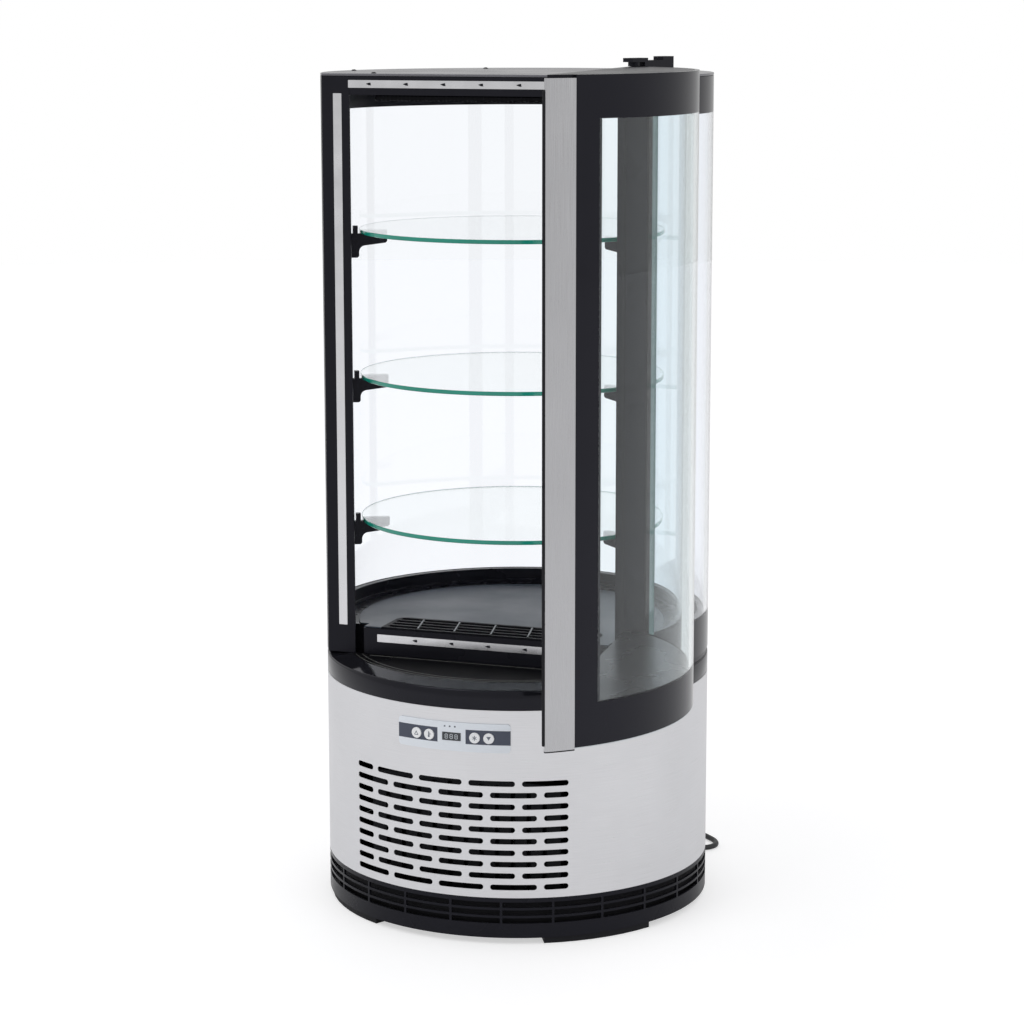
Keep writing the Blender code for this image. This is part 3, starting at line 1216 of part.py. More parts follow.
def make_condenser():
    low = PAN_THICKNESS + GAP
    high = low + CONDENSER_HEIGHT
    front = -CONDENSER_FRONT
    back = front + CONDENSER_DEPTH
    finned_block("condenser", (-CONDENSER_HALF_WIDTH, front, low), (CONDENSER_HALF_WIDTH, back, high),
                 FIN_GROOVES)
    fan_y = back + CONDENSER_FAN_SPACE
    middle = (low + high) / 2
    make_fan("condenser_fan", FAN_RADIUS, FAN_HUB_RADIUS, FAN_HUB_LENGTH, BLADE_WIDTH, (0, fan_y, middle))
    shaft_tip = fan_y - FAN_HUB_LENGTH / 2
    motor = motor_mesh(MOTOR_RADIUS, MOTOR_LENGTH, SHAFT_LENGTH + FAN_HUB_LENGTH / 2)
    motor.transform(Matrix.Translation((0, shaft_tip, middle)))
    item = link_part("condenser_motor", motor, "black_paint")
    motor_front = shaft_tip + SHAFT_LENGTH + FAN_HUB_LENGTH / 2
    foot = box_mesh((-MOTOR_FOOT_WIDTH / 2, motor_front + MOTOR_FOOT_THICKNESS, low),
                    (MOTOR_FOOT_WIDTH / 2, motor_front + 2 * MOTOR_FOOT_THICKNESS, middle))
    shape(item, foot, "UNION")


def make_compressor():
    low = PAN_THICKNESS + GAP
    base = low + COMPRESSOR_FOOT_THICKNESS
    top = low + COMPRESSOR_HEIGHT
    turns = [math.radians(90) * i / DOME_STEPS for i in range(DOME_STEPS + 1)]
    dome = [(COMPRESSOR_RADIUS * math.sin(turn), top - COMPRESSOR_SHOULDER * (1 - math.cos(turn)))
            for turn in turns]
    body = turned_mesh(dome + [(COMPRESSOR_RADIUS, base - GAP), (0, base - GAP)], PLUG_STEPS)
    body.transform(Matrix.Translation((COMPRESSOR_X, COMPRESSOR_Y, 0)))
    compressor = link_part("compressor", body, "black_paint")
    half = COMPRESSOR_FOOT / 2
    foot = box_mesh((COMPRESSOR_X - half, COMPRESSOR_Y - half / 2, low),
                    (COMPRESSOR_X + half, COMPRESSOR_Y + half / 2, base))
    shape(compressor, foot, "UNION")


def make_evaporator():
    low = TUB_BOTTOM + TUB_FLOOR + GAP
    high = low + EVAPORATOR_HEIGHT
    front = EVAPORATOR_FRONT
    block = finned_block("evaporator", (-EVAPORATOR_HALF_WIDTH, front, low),
                         (EVAPORATOR_HALF_WIDTH, front + EVAPORATOR_DEPTH, high), FIN_GROOVES)
    middle = (low + high) / 2
    fan_y = front - EVAPORATOR_MOTOR_LENGTH - EVAPORATOR_FAN_SPACE - FAN_HUB_LENGTH
    motor = motor_mesh(EVAPORATOR_MOTOR_RADIUS, EVAPORATOR_MOTOR_LENGTH + OVERRUN,
                       FAN_HUB_LENGTH + EVAPORATOR_FAN_SPACE)
    motor.transform(Matrix.Translation((0, fan_y, middle)))
    shape(block, motor, "UNION")
    make_fan("evaporator_fan", EVAPORATOR_FAN_RADIUS, EVAPORATOR_FAN_HUB, FAN_HUB_LENGTH,
             EVAPORATOR_BLADE_WIDTH, (0, fan_y + FAN_HUB_LENGTH / 2, middle))


def catmull_rom(points, spacing):
    """Points at an even spacing on a smooth curve through the given points."""
    before = points[0] + (points[0] - points[1])
    after = points[-1] + (points[-1] - points[-2])
    ends = [before] + points + [after]
    fine = []
    for a, b, c, d in zip(ends, ends[1:], ends[2:], ends[3:]):
        for i in range(CORD_SAMPLES):
            t = i / CORD_SAMPLES
            fine.append((2 * b + (c - a) * t + (2 * a - 5 * b + 4 * c - d) * t * t
                         + (3 * b - a - 3 * c + d) * t * t * t) / 2)
    fine.append(points[-1])
    length = sum((b - a).length for a, b in zip(fine, fine[1:]))
    count = max(2, round(length / spacing))
    result = [fine[0]]
    travelled = 0
    for a, b in zip(fine, fine[1:]):
        travelled += (b - a).length
        if travelled >= length * len(result) / count and len(result) < count:
            result.append(b)
    return result + [fine[-1]], length


def tube(name, points, resolution, finish):
    curve = bpy.data.curves.new(name, "CURVE")
    curve.dimensions = "3D"
    curve.bevel_depth = CORD_RADIUS
    curve.bevel_resolution = resolution
    curve.use_fill_caps = True
    spline = curve.splines.new("POLY")
    spline.points.add(len(points) - 1)
    for point, place in zip(spline.points, points):
        point.co = (*place, 1)
    return link_part(name, bake_curve(curve), finish)


def wall_direction(angle):
    return Vector((math.sin(angle), -math.cos(angle), 0))


def make_gland():
    """Flange on the shell, neck through it and a tapered strain relief round the lead's start."""
    flange = BODY_RADIUS + GAP
    inside = BODY_RADIUS - GLAND_INSIDE
    tip = flange + GLAND_LENGTH
    profile = [(0, tip), (GLAND_TIP_RADIUS, tip), (GLAND_NECK_RADIUS, flange + GLAND_FLANGE_THICKNESS),
               (GLAND_FLANGE_RADIUS, flange + GLAND_FLANGE_THICKNESS), (GLAND_FLANGE_RADIUS, flange),
               (GLAND_NECK_RADIUS, flange), (GLAND_NECK_RADIUS, inside), (0, inside)]
    gland = turned_mesh(profile, PLUG_STEPS)
    place_on_wall(gland, GLAND_ANGLE, 0, GLAND_HEIGHT)
    link_part("cord_gland", gland, "rubber")
    return wall_direction(GLAND_ANGLE) * (tip + GAP) + Vector((0, 0, GLAND_HEIGHT))


def coil_points():
    """A flat coil: spirals in on the floor, climbs in half a turn, spirals out on top."""
    centre = Vector((COIL_X, COIL_Y, CORD_FLOOR))
    outer = COIL_INNER_RADIUS + COIL_TURNS_IN * COIL_PITCH
    total = COIL_TURNS_IN + 1 / 2 + COIL_TURNS_OUT
    points = []
    count = round(total * COIL_LOOP_POINTS)
    for index in range(count + 1):
        turns = index / COIL_LOOP_POINTS
        if turns <= COIL_TURNS_IN:
            radius = outer - turns * COIL_PITCH
            lift = 0
        elif turns <= COIL_TURNS_IN + 1 / 2:
            radius = COIL_INNER_RADIUS
            share = 2 * (turns - COIL_TURNS_IN)
            lift = COIL_LAYER * share * share * (3 - 2 * share)
        else:
            radius = COIL_INNER_RADIUS + (turns - COIL_TURNS_IN - 1 / 2) * COIL_PITCH
            lift = COIL_LAYER
        turn = -math.radians(90) - math.tau * turns
        points.append(centre + Vector((radius * math.cos(turn), radius * math.sin(turn), lift)))
    ahead = Vector((CORD_DIAMETER, 0, 0))
    return [points[0] + ahead] + points + [points[-1] - ahead]


def least_self_gap(points, diameter):
    """Smallest clear distance between turns that are not neighbours along the lead."""
    least = math.inf
    for i, a in enumerate(points):
        for b, c in zip(points[i + COIL_LOOP_POINTS // 2:], points[i + COIL_LOOP_POINTS // 2 + 1:]):
            along = c - b
            share = min(max((a - b).dot(along) / along.length_squared, 0), 1)
            least = min(least, (a - b - along * share).length)
    return least - diameter


def make_lead():
    start = make_gland()
    coil = coil_points()
    first = coil[0] + Vector((GAP, 0, 0))
    out = wall_direction(GLAND_ANGLE)
    rear = Vector((0, BODY_RADIUS, CORD_FLOOR))
    route = [start, start + out * CORD_DIAMETER] + [rear + Vector(place) for place in LEAD_ROUTE]
    route += [first + Vector((CORD_DIAMETER, 0, 0)), first]
    points, free_length = catmull_rom(route, CORD_SPACING)
    tube("cord", points, 2, "rubber")
    tube("cord_coil", coil, 1, "rubber")
    coil_length = sum((b - a).length for a, b in zip(coil, coil[1:]))
    last = coil[-1] - Vector((GAP, 0, 0))
    plug_axis = FLOOR + PLUG_RADIUS
    plug_start = Vector((last.x - TAIL_LENGTH, last.y, plug_axis))
    ahead = Vector((CORD_DIAMETER, 0, 0))
    tail, tail_length = catmull_rom([last, last - ahead, plug_start + ahead, plug_start], CORD_SPACING / 2)
    tube("cord_tail", tail, 2, "rubber")
    make_plug(plug_start - Vector((GAP, 0, 0)))
    gap = least_self_gap(coil, CORD_DIAMETER)
    print("mains lead: free %.3f m, coil %.3f m, tail %.3f m, total %.3f m" % (
        free_length, coil_length, tail_length, free_length + coil_length + tail_length))
    print("least gap between the coil's turns: %.2f mm" % (gap * 1000))


def make_plug(start):
    """A round two-pin plug lying on its side, its pins pointing away from the lead."""
    face = PLUG_LENGTH - PLUG_FACE_LENGTH
    profile = [(0, 0), (PLUG_NECK_RADIUS, 0), ((PLUG_RADIUS + PLUG_NECK_RADIUS) / 2, -face / 2),
               (PLUG_RADIUS, -face), (PLUG_RADIUS, -PLUG_LENGTH), (0, -PLUG_LENGTH)]
    body = turned_mesh(profile, PLUG_STEPS)
    plug = link_part("plug", body, "rubber")
    pins = []
    for side in (-1, 1):
        pin = rod_mesh(PLUG_PIN_RADIUS, PLUG_PIN_LENGTH + OVERRUN, PIN_STEPS // 2)
        pin.transform(Matrix.Translation((0, side * PLUG_PIN_SPACING / 2, -PLUG_LENGTH - PLUG_PIN_LENGTH)))
        pins.append(pin)
    shape(plug, combine(pins), "UNION")
    for item in (plug, CUTTERS.objects["plug_union"]):
        item.rotation_euler.y = math.radians(90)
        item.location = start


clear_scene()
PARTS = make_collection("cake_display_case")
CUTTERS = make_collection("cutters")
DOOR = bpy.data.objects.new("door_hinge_axis", None)
PARTS.objects.link(DOOR)
DOOR.location = HINGE
DOOR.rotation_euler.z = OPEN_ANGLE

make_base()
make_plinth()
make_shell()
make_rear_panel()
make_controls()
make_collar()
make_deck()
make_frame()
make_rings()
make_shelves()
make_door()
make_hinges()
make_condenser()
make_compressor()
make_evaporator()
make_lead()
for part in PARTS.objects:
    if part.type == "MESH":
        smooth(part.data)
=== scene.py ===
# %% [markdown]
# # Round cake display case
# This lesson dresses a round refrigerated cake case: a brushed steel drum, a glass cabinet
# with three glass shelves, and a curved glass door that stands open on its hinge.
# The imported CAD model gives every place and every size. Here each round form is made again
# with many more steps, so that metal and glass reflect smoothly, and each surface gets a finish.

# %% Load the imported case
import math

import bmesh
import bpy
from mathutils import Matrix, Vector


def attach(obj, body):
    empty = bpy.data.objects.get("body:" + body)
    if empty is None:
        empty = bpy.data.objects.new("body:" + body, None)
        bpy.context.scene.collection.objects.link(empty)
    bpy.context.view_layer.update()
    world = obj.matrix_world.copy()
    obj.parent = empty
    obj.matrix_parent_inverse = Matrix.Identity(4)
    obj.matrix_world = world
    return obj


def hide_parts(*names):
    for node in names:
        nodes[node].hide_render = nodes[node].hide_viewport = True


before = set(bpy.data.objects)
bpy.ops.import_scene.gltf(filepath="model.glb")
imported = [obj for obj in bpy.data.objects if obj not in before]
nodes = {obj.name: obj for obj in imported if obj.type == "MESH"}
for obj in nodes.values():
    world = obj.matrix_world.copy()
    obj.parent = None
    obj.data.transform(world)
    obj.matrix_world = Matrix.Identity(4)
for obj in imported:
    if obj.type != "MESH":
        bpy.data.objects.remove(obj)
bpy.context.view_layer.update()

# %% [markdown]
# The camera comes first, because the mains lead is judged from it. Its place was worked out from
# the photograph: rims, shelf edges and posts fix the distance, height and focal length.
# A camera is aimed by turning it about Z (yaw), tilting it down, and rolling it a hair.

# %% Camera at the photograph's angle
CAMERA_DISTANCE = 3.5056
CAMERA_HEIGHT = 1.1073
CAMERA_AZIMUTH = math.radians(19.8)
CAMERA_TILT = math.radians(10.185)
CAMERA_PAN = 0.00196
CAMERA_ROLL = -0.00119
CAMERA_LENS = 99.716
SENSOR_WIDTH = 36


def stand(name, data):
    """Makes an object of a mesh, curve, lamp or camera, and puts it into the scene."""
    made = bpy.data.objects.new(name, data)
    bpy.context.scene.collection.objects.link(made)
    return made


camera_data = bpy.data.cameras.new("photo_camera")
camera_data.lens = CAMERA_LENS
camera_data.sensor_width = SENSOR_WIDTH
camera_data.sensor_fit = "HORIZONTAL"
camera = stand("photo_camera", camera_data)
camera.matrix_world = (
    Matrix.Translation((CAMERA_DISTANCE * math.sin(CAMERA_AZIMUTH),
                        -CAMERA_DISTANCE * math.cos(CAMERA_AZIMUTH), CAMERA_HEIGHT))
    @ Matrix.Rotation(CAMERA_AZIMUTH + CAMERA_PAN, 4, "Z")
    @ Matrix.Rotation(math.radians(90) - CAMERA_TILT, 4, "X")
    @ Matrix.Rotation(CAMERA_ROLL, 4, "Z"))
bpy.context.scene.camera = camera
bpy.context.scene.view_settings.view_transform = "Standard"
print("camera at", [round(value, 3) for value in camera.location])

# %% [markdown]
# Every finish is a node material. This small builder makes the Principled shader and hands back
# the tools to wire textures into it, so that each finish below reads as a short recipe.

# %% A recipe holder for finishes
class Finish:
    """A node material with short calls for wiring its textures."""

    def __init__(self, name, colour, roughness, metallic=0.0):
        self.material = bpy.data.materials.new(name)
        self.material.use_nodes = True
        self.tree = self.material.node_tree
        self.shader = self.tree.nodes["Principled BSDF"]
        self.output = self.tree.nodes["Material Output"]
        self.set("Base Color", (*colour, 1))
        self.set("Roughness", roughness)
        self.set("Metallic", metallic)

    def set(self, socket, value):
        self.shader.inputs[socket].default_value = value

    def node(self, kind, **settings):
        made = self.tree.nodes.new(kind)
        for key, value in settings.items():
            setattr(made, key, value)
        return made

    def link(self, source, target):
        self.tree.links.new(source, target)

    def place(self, scale=(1, 1, 1), uv=None):
        """Texture coordinates in metres, stretched by scale, from the object or from a UV map."""
        mapping = self.node("ShaderNodeMapping")
        mapping.inputs["Scale"].default_value = scale
        if uv is None:
            self.link(self.node("ShaderNodeTexCoord").outputs["Object"], mapping.inputs["Vector"])
        else:
            self.link(self.node("ShaderNodeUVMap", uv_map=uv).outputs["UV"], mapping.inputs["Vector"])
        return mapping.outputs["Vector"]

    def noise(self, vector, scale, detail=3.0):
        made = self.node("ShaderNodeTexNoise")
        made.inputs["Scale"].default_value = scale
        made.inputs["Detail"].default_value = detail
        self.link(vector, made.inputs["Vector"])
        return made.outputs["Fac"]

    def grain(self, scale, detail=3.0):
        """A noise in the object's own metres, as dense one way as another."""
        return self.noise(self.place(), scale, detail)

    def spread(self, value, low, high):
        """Turns a texture's middle range into numbers between low and high."""
        made = self.node("ShaderNodeMapRange")
        made.inputs["From Min"].default_value = 0.3
        made.inputs["From Max"].default_value = 0.7
        made.inputs["To Min"].default_value = low
        made.inputs["To Max"].default_value = high
        self.link(value, made.inputs["Value"])
        return made.outputs["Result"]

    def tint(self, value, dark, light):
        """Blends between two colours by a texture; a colour can be another texture's output."""
        made = self.node("ShaderNodeMix", data_type="RGBA")
        self.link(value, made.inputs["Factor"])
        for socket, colour in ((made.inputs[6], dark), (made.inputs[7], light)):
            if isinstance(colour, tuple):
                socket.default_value = (*colour, 1)
            else:
                self.link(colour, socket)
        return made.outputs[2]

    def colour_by(self, value, dark, light):
        """Lets a texture choose the colour between two."""
        self.link(self.tint(value, dark, light), self.shader.inputs["Base Color"])

    def roughness_by(self, value, low, high):
        """Lets a texture choose the roughness between two numbers."""
        self.link(self.spread(value, low, high), self.shader.inputs["Roughness"])

    def reckon(self, operation, *values):
        """A number worked out from others, each the output of a node or a plain number."""
        made = self.node("ShaderNodeMath", operation=operation)
        for socket, value in zip(made.inputs, values):
            if isinstance(value, (int, float)):
                socket.default_value = value
            else:
                self.link(value, socket)
        return made.outputs[0]

    def bump(self, value, depth, strength=1.0):
        made = self.node("ShaderNodeBump")
        made.inputs["Distance"].default_value = depth
        made.inputs["Strength"].default_value = strength
        self.link(value, made.inputs["Height"])
        self.link(made.outputs["Normal"], self.shader.inputs["Normal"])


def shade(colour, factor):
    return tuple(channel * factor for channel in colour)


def masked(finish, coordinate, low, high):
    """1 where a coordinate lies between low and high, with crisp edges."""
    return finish.reckon("MULTIPLY", finish.reckon("GREATER_THAN", coordinate, low),
                         finish.reckon("LESS_THAN", coordinate, high))


def mottled(name, colour, roughness, scale, dark, light, rough=None, depth=None):
    """A finish whose colour wanders from dark to light; rough and depth do the same for its
    roughness and its height."""
    finish = Finish(name, colour, roughness)
    texture = finish.grain(scale)
    finish.colour_by(texture, dark, light)
    if rough:
        finish.roughness_by(texture, *rough)
    if depth:
        finish.bump(texture, depth)
    return finish


print("finish recipes are ready")

# %% [markdown]
# The lead is a 7 mm round mains lead, 1.77 m long. It leaves a tapered gland at the back, drops
# to the table, comes out in one low loop beside the plinth, and its spare length is wound behind
# the case. One curve of one open line makes it, so its length can be measured along the line.

# %% The mains lead's route
BODY_RADIUS = 0.240
FLOOR = -0.008
CORD_RADIUS = 0.0035
CORD_FLOOR = FLOOR + CORD_RADIUS
GLAND_ANGLE = math.radians(165)
GLAND_TIP = BODY_RADIUS + 0.0003 + 0.034 + 0.0003
GLAND_HEIGHT = 0.066
COIL_CENTRE = Vector((-0.045, BODY_RADIUS + 0.065, CORD_FLOOR))
COIL_INNER_RADIUS = 0.0297
COIL_PITCH = 0.0088
COIL_LAYER = 0.0080
COIL_TURNS_IN = 2.5
COIL_TURNS_OUT = 2.0
TAIL_LENGTH = 0.064
PLUG_AXIS = FLOOR + 0.0185
LEAD_ROUTE = [
    (0.0785, 0.0530, 0.0700), (0.0835, 0.0680, 0.0645), (0.0895, 0.0785, 0.0525), (0.0970, 0.0835, 0.0360),
    (0.1070, 0.0825, 0.0205), (0.1190, 0.0760, 0.0090), (0.1325, 0.0660, 0.0015), (0.1470, 0.0550, 0),
    (0.1620, 0.0430, 0), (0.1770, 0.0300, 0), (0.1900, 0.0160, 0), (0.1955, 0, 0),
    (0.1900, -0.0140, 0), (0.1760, -0.0210, 0), (0.1580, -0.0200, 0), (0.1380, -0.0125, 0),
    (0.1150, -0.0035, 0), (0.0900, 0.0037, 0), (0.0620, 0.0090, 0), (0.0320, 0.0120, 0),
    (0.0050, 0.0131, 0)]


def smooth_line(points, samples=8):
    """Points on a smooth curve through the given points."""
    ends = [points[0] * 2 - points[1]] + points + [points[-1] * 2 - points[-2]]
    fine = []
    for a, b, c, d in zip(ends, ends[1:], ends[2:], ends[3:]):
        for i in range(samples):
            t = i / samples
            fine.append((2 * b + (c - a) * t + (2 * a - 5 * b + 4 * c - d) * t * t
                         + (3 * b - a - 3 * c + d) * t * t * t) / 2)
    return fine + [points[-1]]


def coil_line(steps):
    """Spirals in on the table, climbs one layer in half a turn, spirals out on top."""
    outer = COIL_INNER_RADIUS + COIL_TURNS_IN * COIL_PITCH
    points = []
    for index in range(round((COIL_TURNS_IN + 0.5 + COIL_TURNS_OUT) * steps) + 1):
        turns = index / steps
        share = min(max(2 * (turns - COIL_TURNS_IN), 0), 1)
        radius = outer - min(turns, COIL_TURNS_IN) * COIL_PITCH
        radius += max(turns - COIL_TURNS_IN - 0.5, 0) * COIL_PITCH
        turn = -math.radians(90) - math.tau * turns
        lift = COIL_LAYER * share * share * (3 - 2 * share)
        points.append(COIL_CENTRE + Vector((radius * math.cos(turn), radius * math.sin(turn), lift)))
    return points


gland_out = Vector((math.sin(GLAND_ANGLE), -math.cos(GLAND_ANGLE), 0))
cord_exit = gland_out * GLAND_TIP + Vector((0, 0, GLAND_HEIGHT))
rear = Vector((0, BODY_RADIUS, CORD_FLOOR))
coil = coil_line(48)
free_points = [cord_exit, cord_exit + gland_out * 2 * CORD_RADIUS]
free_points += [rear + Vector(place) for place in LEAD_ROUTE]
free_points += [coil[0] + Vector((4 * CORD_RADIUS, 0, 0)), coil[0] + Vector((2 * CORD_RADIUS, 0, 0))]
tail_start = coil[-1] - Vector((2 * CORD_RADIUS, 0, 0))
plug_end = Vector((tail_start.x - 0.0003 - TAIL_LENGTH, tail_start.y, PLUG_AXIS))
ahead = Vector((2 * CORD_RADIUS, 0, 0))
tail_points = [tail_start, tail_start - ahead, plug_end + ahead, plug_end]
lead_line = smooth_line(free_points) + coil + smooth_line(tail_points)

# %% [markdown]
# The sheath is a soft black plastic with a faint grain. The curve's own round bevel gives the
# line its thickness, so that the lead stays one curve.

# %% The mains lead and its sheath
sheath = mottled("black_cord_sheath", (0.022, 0.022, 0.024), 0.45, 260, (0.014, 0.014, 0.016),
                 (0.034, 0.034, 0.037), rough=(0.38, 0.55), depth=0.0002)
lead_curve = bpy.data.curves.new("mains_lead", "CURVE")
lead_curve.dimensions = "3D"
lead_curve.bevel_depth = CORD_RADIUS
lead_curve.bevel_resolution = 5
lead_curve.use_fill_caps = True
lead_spline = lead_curve.splines.new("POLY")
lead_spline.points.add(len(lead_line) - 1)
for point, place in zip(lead_spline.points, lead_line):
    point.co = (*place, 1)
lead_spline.use_smooth = True
mains_lead = stand("mains_lead", lead_curve)
mains_lead.data.materials.append(sheath.material)
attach(mains_lead, "case")
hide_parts("cord", "cord_coil", "cord_tail")

# %% [markdown]
# The stage is a pale table in a white room. The table is an ordinary matt surface that takes the
# shadow, and only the camera's rays, straight or through glass, see a little light added to it, so
# it meets the white room without an edge. The room lights everything evenly, and two large soft
# lamps shape it. Mirrored rays find a dimmer room, as steel does between a studio's screens.

# %% White room and pale table
ROOM_LIGHT = 0.80
ROOM_IN_MIRRORS = 0.62
TABLE_GLOW = 0.52
TABLE_IN_MIRRORS = 0.24
TABLE_RADIUS = 9
TABLE_DROP = 0.0002


def seen_or_through(tree):
    """Two switches: 1 where a ray comes from the camera, straight or through glass, and 1 where it
    comes from a mirror."""
    path = tree.nodes.new("ShaderNodeLightPath")
    either = tree.nodes.new("ShaderNodeMath")
    either.operation = "MAXIMUM"
    tree.links.new(path.outputs["Is Camera Ray"], either.inputs[0])
    tree.links.new(path.outputs["Is Transmission Ray"], either.inputs[1])
    return either.outputs[0], path.outputs["Is Glossy Ray"]


def between(tree, switch, off, on):
    """The first value where the switch is 0, the second where it is 1; each a number or a socket."""
    mixed = tree.nodes.new("ShaderNodeMix")
    tree.links.new(switch, mixed.inputs["Factor"])
    for socket, value in ((mixed.inputs["A"], off), (mixed.inputs["B"], on)):
        if isinstance(value, (int, float)):
            socket.default_value = value
        else:
            tree.links.new(value, socket)
    return mixed.outputs["Result"]


world = bpy.data.worlds.new("white_room")
bpy.context.scene.world = world
world.use_nodes = True
room = world.node_tree
room_light = room.nodes["Background"]
room_light.inputs["Color"].default_value = (1, 1, 1, 1)
seen, mirrored = seen_or_through(room)
room.links.new(between(room, seen, between(room, mirrored, ROOM_LIGHT, ROOM_IN_MIRRORS), 1.0),
               room_light.inputs["Strength"])


def mesh_from(work, name, sharp=None):
    """Makes a mesh of the work. With an angle in degrees it is smooth, but for sharper edges."""
    mesh = bpy.data.meshes.new(name)
    work.to_mesh(mesh)
    work.free()
    if sharp:
        mesh.shade_smooth()
        mesh.set_sharp_from_angle(angle=math.radians(sharp))
    return mesh


table_work = bmesh.new()
bmesh.ops.create_circle(table_work, cap_ends=True, segments=96, radius=TABLE_RADIUS,
                        matrix=Matrix.Translation((0, 0, FLOOR - TABLE_DROP)))
table = stand("pale_table", mesh_from(table_work, "pale_table"))
table_finish = Finish("pale_table_finish", (0.62, 0.62, 0.63), 0.6)
table_finish.set("Specular IOR Level", 0.1)
glow = table_finish.node("ShaderNodeEmission")
seen, mirrored = seen_or_through(table_finish.tree)
unseen = between(table_finish.tree, mirrored, 0.0, TABLE_IN_MIRRORS)
table_finish.link(between(table_finish.tree, seen, unseen, TABLE_GLOW), glow.inputs["Strength"])
both = table_finish.node("ShaderNodeAddShader")
table_finish.link(table_finish.shader.outputs[0], both.inputs[0])
table_finish.link(glow.outputs[0], both.inputs[1])
table_finish.link(both.outputs[0], table_finish.output.inputs["Surface"])
table.data.materials.append(table_finish.material)


def soft_lamp(name, place, aim, width, power):
    lamp_data = bpy.data.lights.new(name, "AREA")
    lamp_data.shape = "SQUARE"
    lamp_data.size = width
    lamp_data.energy = power
    lamp = stand(name, lamp_data)
    lamp.location = place
    lamp.rotation_euler = (Vector(aim) - Vector(place)).to_track_quat("-Z", "Y").to_euler()


soft_lamp("key_lamp", (-1.6, -2.6, 3.2), (0, 0, 0.4), 2.2, 26)
soft_lamp("fill_lamp", (3.0, -1.2, 2.4), (0, 0, 0.5), 2.0, 12)
print("lamps and table are set")

# %% [markdown]
# Most of the case is sheet or moulding bent round one axis. The easiest way to make such a piece
# is the way a sheet-metal shop does: cut it flat, with all its holes, then roll it. Here a flat
# outline is filled, sliced into narrow strips and bent, and its surface directions are set
# exactly outwards, so that reflections run round without a ripple.

# %% Cut flat, then roll
ROLL_STEP = math.radians(1.5)


def flat_sheet(outlines):
    """A filled flat outline, the first its edge and the others its holes, as points and faces."""
    curve = bpy.data.curves.new("sheet_outline", "CURVE")
    curve.dimensions = "2D"
    curve.fill_mode = "BOTH"
    for outline in outlines:
        spline = curve.splines.new("POLY")
        spline.points.add(len(outline) - 1)
        for point, (x, y) in zip(spline.points, outline):
            point.co = (x, y, 0, 1)
        spline.use_cyclic_u = True
    helper = stand("sheet_outline", curve)
    graph = bpy.context.evaluated_depsgraph_get()
    mesh = bpy.data.meshes.new_from_object(helper.evaluated_get(graph), depsgraph=graph)
    bpy.data.objects.remove(helper)
    work = bmesh.new()
    work.from_mesh(mesh)
    bmesh.ops.remove_doubles(work, verts=work.verts, dist=0.000001)
    bpy.data.meshes.remove(mesh)
    return work


def slice_sheet(work, across, up):
    """Cuts a flat sheet along upright lines at across, and level lines at up."""
    for x in across:
        bmesh.ops.bisect_plane(work, geom=work.verts[:] + work.edges[:] + work.faces[:],
                               plane_co=(x, 0, 0), plane_no=(1, 0, 0))
    for y in up:
        bmesh.ops.bisect_plane(work, geom=work.verts[:] + work.edges[:] + work.faces[:],
                               plane_co=(0, y, 0), plane_no=(0, 1, 0))


def rolled_sheet(name, outlines, outer, thickness, levels=(), step=ROLL_STEP, cuts=()):
    """Rolls a flat sheet round the case's axis: x runs round from the front, y is the height."""
    work = flat_sheet(outlines)
    xs = [vert.co.x for vert in work.verts]
    first, last = min(xs), max(xs)
    pitch = outer * step
    across = [pitch * i for i in range(math.ceil(first / pitch + 0.01), math.ceil(last / pitch - 0.01))]
    slice_sheet(work, across + list(cuts), levels)
    flat = [vert.co.copy() for vert in work.verts]
    work.verts.index_update()
    skin = [[vert.index for vert in (face.verts if face.normal.z > 0 else reversed(face.verts))]
            for face in work.faces]
    rims = [[vert.index for vert in edge.verts] for edge in work.edges if edge.is_boundary]
    work.free()
    seam = {}
    if last - first > math.tau * outer - 0.000001:
        starts = {round(flat[i].y, 6): i for i in range(len(flat)) if flat[i].x < first + 0.000001}
        seam = {i: starts[round(flat[i].y, 6)] for i in range(len(flat)) if flat[i].x > last - 0.000001}
        rims = [(a, b) for a, b in rims if not (a in seam and b in seam)
                and not (flat[a].x < first + 0.000001 and flat[b].x < first + 0.000001)]
    directed = {(face[i - 1], face[i]) for face in skin for i in range(len(face))}
    count = len(flat)
    corners = skin + [[i + count for i in reversed(face)] for face in skin]
    for a, b in rims:
        if (a, b) not in directed:
            a, b = b, a
        corners.append([b, a, a + count, b + count])
    places = []
    for radius in (outer, outer - thickness):
        for point in flat:
            angle = point.x / outer
            places.append((radius * math.sin(angle), -radius * math.cos(angle), point.y))
    joined = [seam.get(i, i) for i in range(count)]
    joined += [i + count for i in joined]
    mesh = bpy.data.meshes.new(name)
    mesh.from_pydata(places, [], [[joined[i] for i in face] for face in corners])
    dress_rolled(mesh, corners, flat, outer, len(skin))
    return stand(name, mesh)


def dress_rolled(mesh, corners, flat, outer, skin_count):
    """Gives a rolled sheet its flat pattern in metres and exact outward directions."""
    layer = mesh.uv_layers.new(name="metres")
    normals = []
    for face, corner in zip(mesh.polygons, corners):
        face.use_smooth = face.index < 2 * skin_count
        outward = 1 if face.index < skin_count else -1
        for loop, index in zip(face.loop_indices, corner):
            point = flat[index % len(flat)]
            layer.data[loop].uv = (point.x, point.y)
            angle = point.x / outer
            if face.use_smooth:
                normals.append((outward * math.sin(angle), -outward * math.cos(angle), 0))
            else:
                normals.append(tuple(face.normal))
    mesh.normals_split_custom_set(normals)


